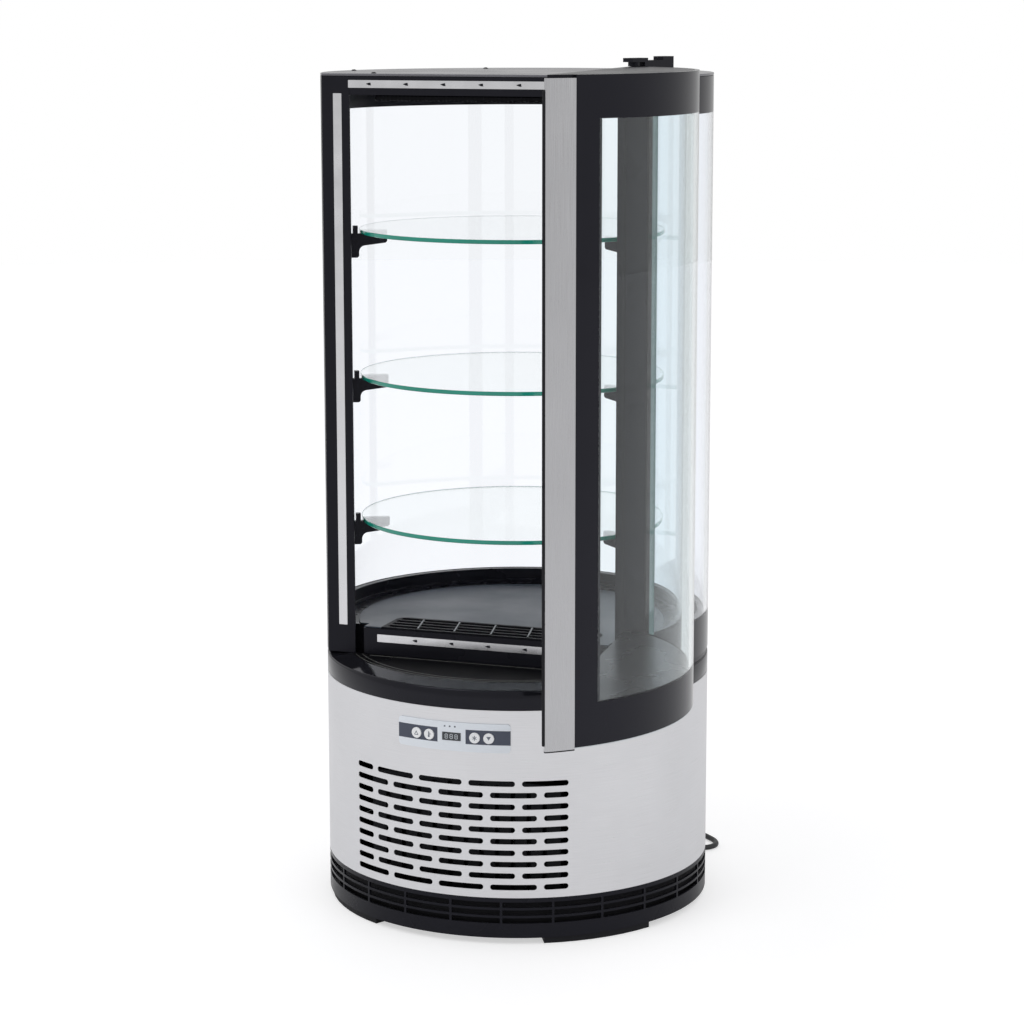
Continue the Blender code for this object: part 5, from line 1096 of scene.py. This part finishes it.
def deck_edge():
    """The deck plate's outline, going round the grille instead of over it."""
    turn = math.acos(POST_BACK / DECK_RADIUS)
    left = grille_edge(0)
    left = [left[1]] + left[2:] + [left[0]]
    front = -OPENING + 0.0015
    path = [(x, max(y, front)) for x, y in left]
    return ([(DECK_HALF, front), (DECK_HALF, -POST_BACK)] + arc_points(DECK_RADIUS, turn, math.tau - turn)
            + [(-DECK_HALF, -POST_BACK), (-DECK_HALF, front)] + path[::-1])


deck = plate("deck_plate", [deck_edge()], DECK_LOW, DECK_TOP, edge=0.0004)
deck_paint = black_surface("deck_paint", (0.042, 0.052, 0.067), 0.34, 700, 0.00006, gloss=0.22)
finish_piece(deck, deck_paint, "case", "deck_paint", "deck_plate")


def grille_windows():
    """Four rows of slots crossed by five slanting ribs."""
    front, back = OPENING - GRILLE_CLEARANCE, GRILLE_BACK + GRILLE_CLEARANCE
    depth = front - back
    middle = (front + back) / 2
    slot_depth = (depth - 5 * GRILLE_BAR) / 4
    limit = GRILLE_HALF - GRILLE_CLEARANCE - 0.006
    windows = []
    for row in range(4):
        low = -middle - depth / 2 + GRILLE_BAR + row * (slot_depth + GRILLE_BAR)
        for column in range(6):
            left = (column - 3) * RIB_PITCH + GRILLE_RIB / 2
            right = left + RIB_PITCH - GRILLE_RIB
            corners = [(left, low), (right, low), (right, low + slot_depth), (left, low + slot_depth)]
            windows.append([(min(max(x + (y + middle) * RIB_SLANT, -limit), limit), y) for x, y in corners])
    return windows


grille = plate("deck_grille", [grille_edge(GRILLE_CLEARANCE)] + grille_windows(), DECK_LOW,
               DECK_TOP + GRILLE_PROUD, edge=0.0003)
grille_black = black_surface("grille_black", (0.007, 0.007, 0.009), 0.45, 1500, 0.00004, gloss=0.05)
finish_piece(grille, grille_black, "case", "black_moulding", "deck_grille")


def grille_ribs():
    """The slanting ribs' crests, thin strips painted pale grey as a painted highlight."""
    middle = 0.0885
    reach = 0.0255
    lean = reach * RIB_SLANT
    return [[(x - lean - 0.0007, -middle - reach), (x - lean + 0.0007, -middle - reach),
             (x + lean + 0.0007, -middle + reach), (x + lean - 0.0007, -middle + reach)]
            for x in [RIB_PITCH * (index - 2) for index in range(5)]]


# The rib crests are painted pale grey: a painted highlight where the ribs catch the light.
painted_rib_highlight = black_surface("painted_rib_highlight", (0.16, 0.17, 0.18), 0.3, 1200, 0.00002, gloss=0.4)
ribs = plate("grille_ribs", grille_ribs(), DECK_TOP + 0.0007, DECK_TOP + 0.0012, edge=0)
finish_piece(ribs, painted_rib_highlight, "case", "black_moulding")

# %% [markdown]
# The round glass stands in a moulded ring below and in the ceiling's ring above. Both rings have
# a small step on their inside, and both stop just behind the front posts.

# %% Lower ring and ceiling
lower_ring = turned("lower_ring", [
    (0.2345, 0.3596), (0.2345, 0.3117), (0.2385, 0.3117), (0.2385, 0.3055), (0.2225, 0.3079),
    (0.2225, 0.3455), (0.2229, 0.3460), (0.2265, 0.3460), (0.2265, 0.3595), (0.2270, 0.3600),
    (0.2341, 0.3600)], front=RING_END)
finish_piece(lower_ring, moulding, "case", "black_moulding", "lower_ring")
ceiling_ring = turned("ceiling_ring", [
    (0.2225, 1.0010), (0.2225, 1.0202), (0.2345, 1.0202), (0.2345, 0.9770), (0.2341, 0.9766),
    (0.2269, 0.9766), (0.2265, 0.9770), (0.2265, 0.9980), (0.2225, 0.9980)], front=RING_END)
finish_piece(ceiling_ring, moulding, "case", "black_moulding")
ceiling = plate("ceiling", [cut_round(0.2224, RING_END)], 0.9980, 1.0010, edge=0)
finish_piece(ceiling, moulding, "case", "black_moulding", "ceiling")

# %% [markdown]
# Glass lets light through, so it must not darken what lies behind it. In a real render a glass
# sheet throws a full dark shadow unless the material tells the light rays to pass. The recipe
# bends and mirrors for the eye, and is a clear, slightly tinted film for the light.

# %% Glass recipe
def clear_glass(name, tint, roughness):
    glass = Finish(name, tint, roughness)
    glass.set("Transmission Weight", 1.0)
    glass.set("IOR", 1.45)
    film = glass.grain(3.5, detail=4)
    glass.roughness_by(film, roughness, roughness + 0.012)
    path = glass.node("ShaderNodeLightPath")
    passing = glass.reckon("MAXIMUM", path.outputs["Is Shadow Ray"], path.outputs["Is Diffuse Ray"])
    clear = glass.node("ShaderNodeBsdfTransparent")
    clear.inputs["Color"].default_value = (*shade(tint, 0.96), 1)
    mixed = glass.node("ShaderNodeMixShader")
    glass.link(passing, mixed.inputs[0])
    glass.link(glass.shader.outputs[0], mixed.inputs[1])
    glass.link(clear.outputs[0], mixed.inputs[2])
    glass.link(mixed.outputs[0], glass.output.inputs["Surface"])
    return glass


case_glass = clear_glass("case_glass", (0.935, 0.955, 0.985), 0.004)
door_glazing = clear_glass("door_glazing", (0.900, 0.955, 0.965), 0.004)
shelf_clear = clear_glass("shelf_clear", (0.965, 0.990, 0.985), 0.004)
print_black = black_surface("black_print", (0.0075, 0.0075, 0.0105), 0.10, 400, 0.00002, gloss=0.3)

# %% [markdown]
# The glass wall is one bent sheet with a black band printed along its lower and upper edge. The
# sheet is cut along the bands' borders, and the faces within the bands take the black print.

# %% Bent glass wall and printed bands
GLASS_THICKNESS = 0.005
GLASS_LOW = 0.3120
GLASS_HIGH = 1.0202
LOWER_BAND_TOP = 0.3600
UPPER_BAND_BOTTOM = 0.9766


def print_bands(piece, chosen):
    """Gives the second material to each face whose middle the test chooses."""
    for face in piece.data.polygons:
        if chosen(face.center):
            face.material_index = 1


wall_start = math.acos(RING_END / BODY_RADIUS) * BODY_RADIUS
glass_edge = box_outline(wall_start, math.tau * BODY_RADIUS - wall_start, GLASS_LOW, GLASS_HIGH)
fixed_glass = rolled_sheet("fixed_glass", [glass_edge], BODY_RADIUS, GLASS_THICKNESS,
                           levels=(LOWER_BAND_TOP, UPPER_BAND_BOTTOM))
finish_piece(fixed_glass, case_glass, "case", "case_glass", "fixed_glass")
fixed_glass.data.materials.append(print_black.material)
print_bands(fixed_glass, lambda middle: middle.z < LOWER_BAND_TOP or middle.z > UPPER_BAND_BOTTOM)

# %% [markdown]
# The steel posts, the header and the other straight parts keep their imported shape. A small bevel
# takes the knife edge off, and the coat gives them their skin.

# %% Posts, header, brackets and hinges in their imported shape
def dress_node(name, finish, edge=0.0):
    node = nodes[name]
    node.data.materials.clear()
    node.data.materials.append(finish.material)
    if edge:
        round_edges(node, edge)


rubber = black_surface("black_rubber", (0.014, 0.014, 0.015), 0.55, 600, 0.00010)
BRACKETS = ["bracket_%s_%s" % (side, level) for side in ("left", "right")
            for level in ("lower", "middle", "upper")]
FEET = ["foot_%s_%s" % (end, side) for end in ("front", "rear") for side in ("left", "right")]
for finish, edge, names in ((powder_coat, 0.0008, ("post_left", "post_right", "header")),
                            (powder_coat, 0.0005, ("hinge_bracket_top", "hinge_bracket_bottom")),
                            (moulding, 0.0007, BRACKETS),
                            (moulding, 0.0008, ("rear_post", "controller_box")),
                            (rubber, 0.0006, FEET)):
    for name in names:
        dress_node(name, finish, edge)

# %% [markdown]
# On the hinge side a pale sealing bead closes the joint between the post and the bent glass, and
# the glass reaches round the post's side as a thin green-tinted sheet. The bead was pressed in by
# hand: its inner edge wanders a little, and its surface is dimpled.

# %% Sealing bead and side glass at the hinge post
bead_pale = mottled("sealing_bead", (0.60, 0.66, 0.69), 0.35, 260, (0.50, 0.56, 0.60), (0.74, 0.79, 0.82),
                    depth=0.0004)
BEAD_LOW = 0.345
BEAD_HIGH = 0.997
BEAD_OUTER = 0.2070
BEAD_INNER = 0.2028
BEAD_THICKNESS = 0.0009
BEAD_STEPS = 80
bead_points = [(BEAD_OUTER, BEAD_LOW), (BEAD_OUTER, BEAD_HIGH)]
for i in range(BEAD_STEPS, -1, -1):
    wander = 0.0003 * math.sin(i * 0.9) + 0.0002 * math.sin(i * 2.3)
    bead_points.append((BEAD_INNER + wander, BEAD_LOW + (BEAD_HIGH - BEAD_LOW) * i / BEAD_STEPS))
bead = plate("sealing_bead", [bead_points], 0, BEAD_THICKNESS, edge=0.0003)
bead.matrix_world = Matrix.Translation((0, -OPENING + 0.0001, 0)) @ Matrix.Rotation(math.radians(90), 4, "X")
finish_piece(bead, bead_pale, "case", "seal_rubber")
side_glass = mottled("side_glass", (0.10, 0.19, 0.19), 0.12, 14, (0.085, 0.165, 0.165), (0.115, 0.205, 0.205))
side_arc = (math.acos(OPENING / BODY_RADIUS) * BODY_RADIUS, math.acos(POST_BACK / BODY_RADIUS) * BODY_RADIUS)
side_sheet = rolled_sheet("side_glass", [box_outline(*side_arc, GLASS_LOW, GLASS_HIGH)],
                          BODY_RADIUS + 0.0004, 0.0003)
finish_piece(side_sheet, side_glass, "case", "case_glass")

# %% [markdown]
# The top cover is a flat painted lid with a rounded rim, and five screws hold it. Its dark grey is partly its
# paint and partly a painted reflection of the bright room.

# %% Top cover and its screws
COVER_TOP = 1.0235
top_cover = plate("top_cover", [cut_round(BODY_RADIUS, OPENING)], 1.0205, COVER_TOP, edge=0.0008)
# The lid's grey, far paler than the black coat, is partly a painted reflection of the room at this grazing
# view.
cover_coat_and_sheen = black_surface("cover_coat_and_sheen", (0.105, 0.103, 0.110), 0.20, 700, 0.00003, gloss=1.0)
finish_piece(top_cover, cover_coat_and_sheen, "case", "black_frame", "top_cover")
COVER_SCREWS = [(-0.224, 0.018), (-0.147, -0.102), (-0.105, 0.172), (0.094, 0.040), (0.168, 0.125)]
for index, place in enumerate(COVER_SCREWS):
    seat = Vector((*place, COVER_TOP - 0.0001))
    place_screw("cover_screw_%d" % index, seat, (0, 0, 1), screw_black, "black_frame")

# %% [markdown]
# Bright catch strips are let into the frame where the door's magnetic gasket closes. The level
# ones are punched with small arrow-like tabs, 48 mm apart. The holes show the black steel behind.

# %% Notched catch strips
STRIP_FRONT = 0.1203
STRIP_THICKNESS = 0.0008
PUNCH_PITCH = 0.048
PUNCH_MARGIN = 0.010
LEFT_STRIP_LOW = 0.3444
LEFT_STRIP_HIGH = 0.9997
PUNCH_SHAPE = [(-0.0036, 0.0002), (0.0004, -0.0015), (0.0034, -0.0017), (0.0028, 0.0018), (0.0002, 0.0015)]
strip_steel = brushed_steel("catch_strip_steel", (0.77, 0.77, 0.79), 0.22, (30, 30, 1500))


def punched(half, shift):
    """Arrow-like holes along a strip, counted from near its middle."""
    count = int((half - PUNCH_MARGIN) / PUNCH_PITCH)
    return [[(x + shift + index * PUNCH_PITCH, y) for x, y in PUNCH_SHAPE]
            for index in range(-count, count + 1)]


def catch_strip(name, half, width, place, holes, turned_by=0.0):
    outlines = [box_outline(-half, half, -width / 2, width / 2, 0.0006, 3)] + holes
    strip = plate(name, outlines, 0, STRIP_THICKNESS, edge=0)
    strip.matrix_world = (Matrix.Translation(place) @ Matrix.Rotation(turned_by, 4, "Y")
                          @ Matrix.Rotation(math.radians(90), 4, "X"))
    return finish_piece(strip, strip_steel, "case", "strip_steel", name)


strip_back = -STRIP_FRONT + STRIP_THICKNESS
catch_strip("catch_strip_top", 0.173, 0.0092, (0, strip_back, 1.0111), punched(0.173, -0.0025))
catch_strip("catch_strip_bottom", 0.142, 0.0095, (0, strip_back, 0.33025), punched(0.142, 0.0043))
catch_strip("catch_strip_left", (LEFT_STRIP_HIGH - LEFT_STRIP_LOW) / 2, 0.011,
            (-0.1875, strip_back, (LEFT_STRIP_HIGH + LEFT_STRIP_LOW) / 2), [], math.radians(90))

# %% [markdown]
# Three round glass shelves lie on their brackets. Seen from the side the cut edge of a glass sheet
# gathers the sheet's colour, so the rims are a deep sea green while the faces stay clear.

# %% Glass shelves with green rims
SHELF_RADIUS = 0.1952
SHELF_THICKNESS = 0.005
SHELF_CHAMFER = 0.0006
SHELF_TOPS = {"lower": 0.4775, "middle": 0.65605, "upper": 0.8346}
shelf_rim = mottled("shelf_rim", (0.006, 0.27, 0.19), 0.16, 18, (0.003, 0.20, 0.14), (0.010, 0.33, 0.24))
shelf_rim.set("Coat Weight", 0.4)
for level, top in SHELF_TOPS.items():
    low = top - SHELF_THICKNESS
    face = SHELF_RADIUS - SHELF_CHAMFER
    shelf = turned("shelf_" + level, [(0, top), (face, top), (SHELF_RADIUS, top - SHELF_CHAMFER),
                                      (SHELF_RADIUS, low + SHELF_CHAMFER), (face, low), (0, low)])
    finish_piece(shelf, shelf_clear, "case", "shelf_glass", "shelf_" + level)
    shelf.data.materials.append(shelf_rim.material)
    print_bands(shelf, lambda middle: math.hypot(middle.x, middle.y) > SHELF_RADIUS * 0.99)

# %% [markdown]
# The door is built in its closed place, where it completes the round, and is then swung open about
# its hinge. A bent glass sheet carries black printed bands, a steel handle closes its free edge,
# and behind the glass lie two D-shaped rails, two uprights and a rubber gasket frame.

# %% Door: glass sheet and handle
HINGE = Vector((0.190, -0.1295, 0))
DOOR_OPEN = math.radians(95)
DOOR_SWING = Matrix.Translation(HINGE) @ Matrix.Rotation(DOOR_OPEN, 4, "Z") @ Matrix.Translation(-HINGE)
DOOR_LOW = 0.3190
DOOR_HIGH = 1.0343
DOOR_BAND_LOW = 0.3672
DOOR_BAND_HIGH = 0.9890
DOOR_PLANE = 0.1245
HINGE_END = 0.197
HANDLE_EDGE = math.radians(-50.6)
STILE_EDGE = math.radians(-42.6)
PRINT_EDGE = math.radians(-43.9)
EDGE_HIGHLIGHT_HEIGHT = 0.0011
HINGE_STILE = 0.180


def door_arc(across):
    """How far round the glass a point of the closed door lies, from its distance to the right."""
    return math.asin(across / BODY_RADIUS) * BODY_RADIUS


def hang(piece, finish, slot, *stood_for):
    """Swings a piece of the door open and finishes it."""
    piece.matrix_world = DOOR_SWING @ piece.matrix_world
    return finish_piece(piece, finish, "door", slot, *stood_for)


door_edge = box_outline((HANDLE_EDGE + 0.00125) * BODY_RADIUS, door_arc(HINGE_END), DOOR_LOW, DOOR_HIGH)
door_glass = rolled_sheet("door_glass", [door_edge], BODY_RADIUS, GLASS_THICKNESS,
                          levels=(DOOR_LOW + EDGE_HIGHLIGHT_HEIGHT, DOOR_BAND_LOW, DOOR_BAND_HIGH),
                          cuts=(PRINT_EDGE * BODY_RADIUS, door_arc(HINGE_STILE)))
hang(door_glass, door_glazing, "door_glazing", "door_glass")
door_glass.data.materials.append(print_black.material)


def in_door_print(middle):
    turn = math.atan2(middle.x, -middle.y)
    beside = turn < PRINT_EDGE or middle.x > HINGE_STILE
    return beside or middle.z < DOOR_BAND_LOW or middle.z > DOOR_BAND_HIGH


print_bands(door_glass, in_door_print)
# The lowest strip of the door glass is painted pale: a painted highlight of the light caught by its bottom
# edge.
painted_edge_highlight = mottled("painted_edge_highlight", (0.62, 0.66, 0.68), 0.45, 240, (0.50, 0.54, 0.56), (0.72, 0.76, 0.78))
door_glass.data.materials.append(painted_edge_highlight.material)
for face in door_glass.data.polygons:
    if face.center.z < DOOR_LOW + EDGE_HIGHLIGHT_HEIGHT:
        face.material_index = 2
HANDLE_LOW = DOOR_LOW - 0.0020
HANDLE_HIGH = DOOR_HIGH - 0.0035
HANDLE_THICKNESS = 0.0045
HANDLE_CAP_TOP = DOOR_LOW - 0.0006
handle_start = -math.acos(DOOR_PLANE / BODY_RADIUS)
handle_edge = box_outline(handle_start * BODY_RADIUS, HANDLE_EDGE * BODY_RADIUS, HANDLE_LOW, HANDLE_HIGH)
handle = rolled_sheet("door_handle", [handle_edge], BODY_RADIUS, HANDLE_THICKNESS, levels=(HANDLE_CAP_TOP,),
                      step=math.radians(0.5))
handle_steel = brushed_steel("handle_steel", (0.55, 0.55, 0.565), 0.30, (1500, 14, 1), uv="metres")
hang(handle, handle_steel, "handle_steel", "door_handle")
handle.data.materials.append(rubber.material)
print_bands(handle, lambda middle: middle.z < HANDLE_CAP_TOP)

# %% [markdown]
# Behind the glass the door has two D-shaped rails, an upright behind the handle and one at the
# hinge, and a rubber gasket that closes on the catch strips. Each keeps one section all along,
# so each is a flat outline with a thickness.

# %% Door: rails, uprights and gasket
RAIL_RADIUS = 0.2347
STILE_LOW = 0.3675
STILE_HIGH = 0.9887
STILE_BACK = RAIL_RADIUS - 0.012
rail_left = math.acos(DOOR_PLANE / RAIL_RADIUS)
rail_right = math.asin(HINGE_END / RAIL_RADIUS)
rail_edge = arc_points(RAIL_RADIUS, -rail_left, rail_right) + [(HINGE_END, -DOOR_PLANE)]
stile_edge = (arc_points(RAIL_RADIUS, -rail_left, STILE_EDGE)
              + arc_points(STILE_BACK, STILE_EDGE, -math.acos(DOOR_PLANE / STILE_BACK)))
hinge_edge = (arc_points(RAIL_RADIUS, math.asin(HINGE_STILE / RAIL_RADIUS), rail_right)
              + [(HINGE_END, -DOOR_PLANE), (HINGE_STILE, -DOOR_PLANE)])
for name, outline, low, high in (("door_rail_bottom", rail_edge, DOOR_LOW, DOOR_BAND_LOW),
                                 ("door_rail_top", rail_edge, DOOR_BAND_HIGH, DOOR_HIGH),
                                 ("door_stile", stile_edge, STILE_LOW, STILE_HIGH),
                                 ("door_hinge_stile", hinge_edge, STILE_LOW, STILE_HIGH)):
    hang(plate(name, [outline], low, high, edge=0.0006), moulding, "black_moulding", name)
GASKET_LEFT = -0.2045
GASKET_RIGHT = 0.189
GASKET_LOW = 0.3235
GASKET_HIGH = 1.0190
GASKET_WIDTH = 0.014
gasket_edge = box_outline(GASKET_LEFT, GASKET_RIGHT, GASKET_LOW, GASKET_HIGH, 0.003)
gasket_hole = box_outline(GASKET_LEFT + GASKET_WIDTH, GASKET_RIGHT - GASKET_WIDTH / 2,
                          GASKET_LOW + GASKET_WIDTH, GASKET_HIGH - GASKET_WIDTH, 0.002)
gasket = plate("door_gasket", [gasket_edge, gasket_hole], DOOR_PLANE - 0.0039, DOOR_PLANE - 0.0003, 0.0010)
gasket.matrix_world = Matrix.Rotation(math.radians(90), 4, "X")
hang(gasket, rubber, "seal_rubber", "door_gasket")

# %% [markdown]
# Inside the drum the cooling parts show through the vents from close by: a finned condenser with
# its fan and motor, and the compressor. An evaporator and its fan stand under the deck. All keep
# their imported shape and get metal and paint; the fins' metal is painted near-black as painted
# shade, for the shade they lie in inside the drum. The lamp under the ceiling has a ribbed diffuser
# on its underside and a dark housing round it.

# %% Cooling parts, lamp and pan
# The fins' near-black colour is painted shade for the dark inside of the drum.
shaded_fin_metal = brushed_steel("fins_painted_dark_as_shade", (0.035, 0.036, 0.040), 0.55, (20, 20, 900))
machine_paint = black_surface("machine_paint", (0.018, 0.018, 0.020), 0.40, 500, 0.00010)
pan_steel = brushed_steel("pan_steel", (0.50, 0.50, 0.51), 0.45, (25, 900, 25))
for finish, edge, names in ((shaded_fin_metal, 0.0005, ("condenser", "evaporator")),
                            (moulding, 0.0004, ("condenser_fan", "evaporator_fan")),
                            (machine_paint, 0.0010, ("condenser_motor", "compressor")),
                            (pan_steel, 0.0004, ("base_pan",))):
    for name in names:
        dress_node(name, finish, edge)
lamp_white = Finish("lamp_diffuser", (0.80, 0.82, 0.84), 0.35)
lamp_ribs = lamp_white.node("ShaderNodeTexWave", wave_type="BANDS", bands_direction="X")
lamp_ribs.inputs["Scale"].default_value = 60
lamp_white.link(lamp_white.place(), lamp_ribs.inputs["Vector"])
ribbed = lamp_white.tint(lamp_ribs.outputs["Fac"], (0.74, 0.76, 0.79), (0.85, 0.87, 0.89))
facing = lamp_white.node("ShaderNodeSeparateXYZ")
lamp_white.link(lamp_white.node("ShaderNodeNewGeometry").outputs["Normal"], facing.inputs[0])
downward = masked(lamp_white, facing.outputs["Z"], -2, -0.8)
lamp_white.colour_by(downward, (0.006, 0.006, 0.008), ribbed)
lamp_white.set("Specular IOR Level", 0.1)
lamp_white.bump(lamp_ribs.outputs["Fac"], 0.0003)
dress_node("led_lamp", lamp_white, 0.0010)

# %% [markdown]
# The gland is a nut with flats and a tapered sleeve that ends in rings, so that the lead cannot be
# bent sharply where it leaves the steel. The plug is a round moulded one with two pins.

# %% Cord gland and plug
dress_node("cord_gland", moulding)
dress_node("plug", rubber)
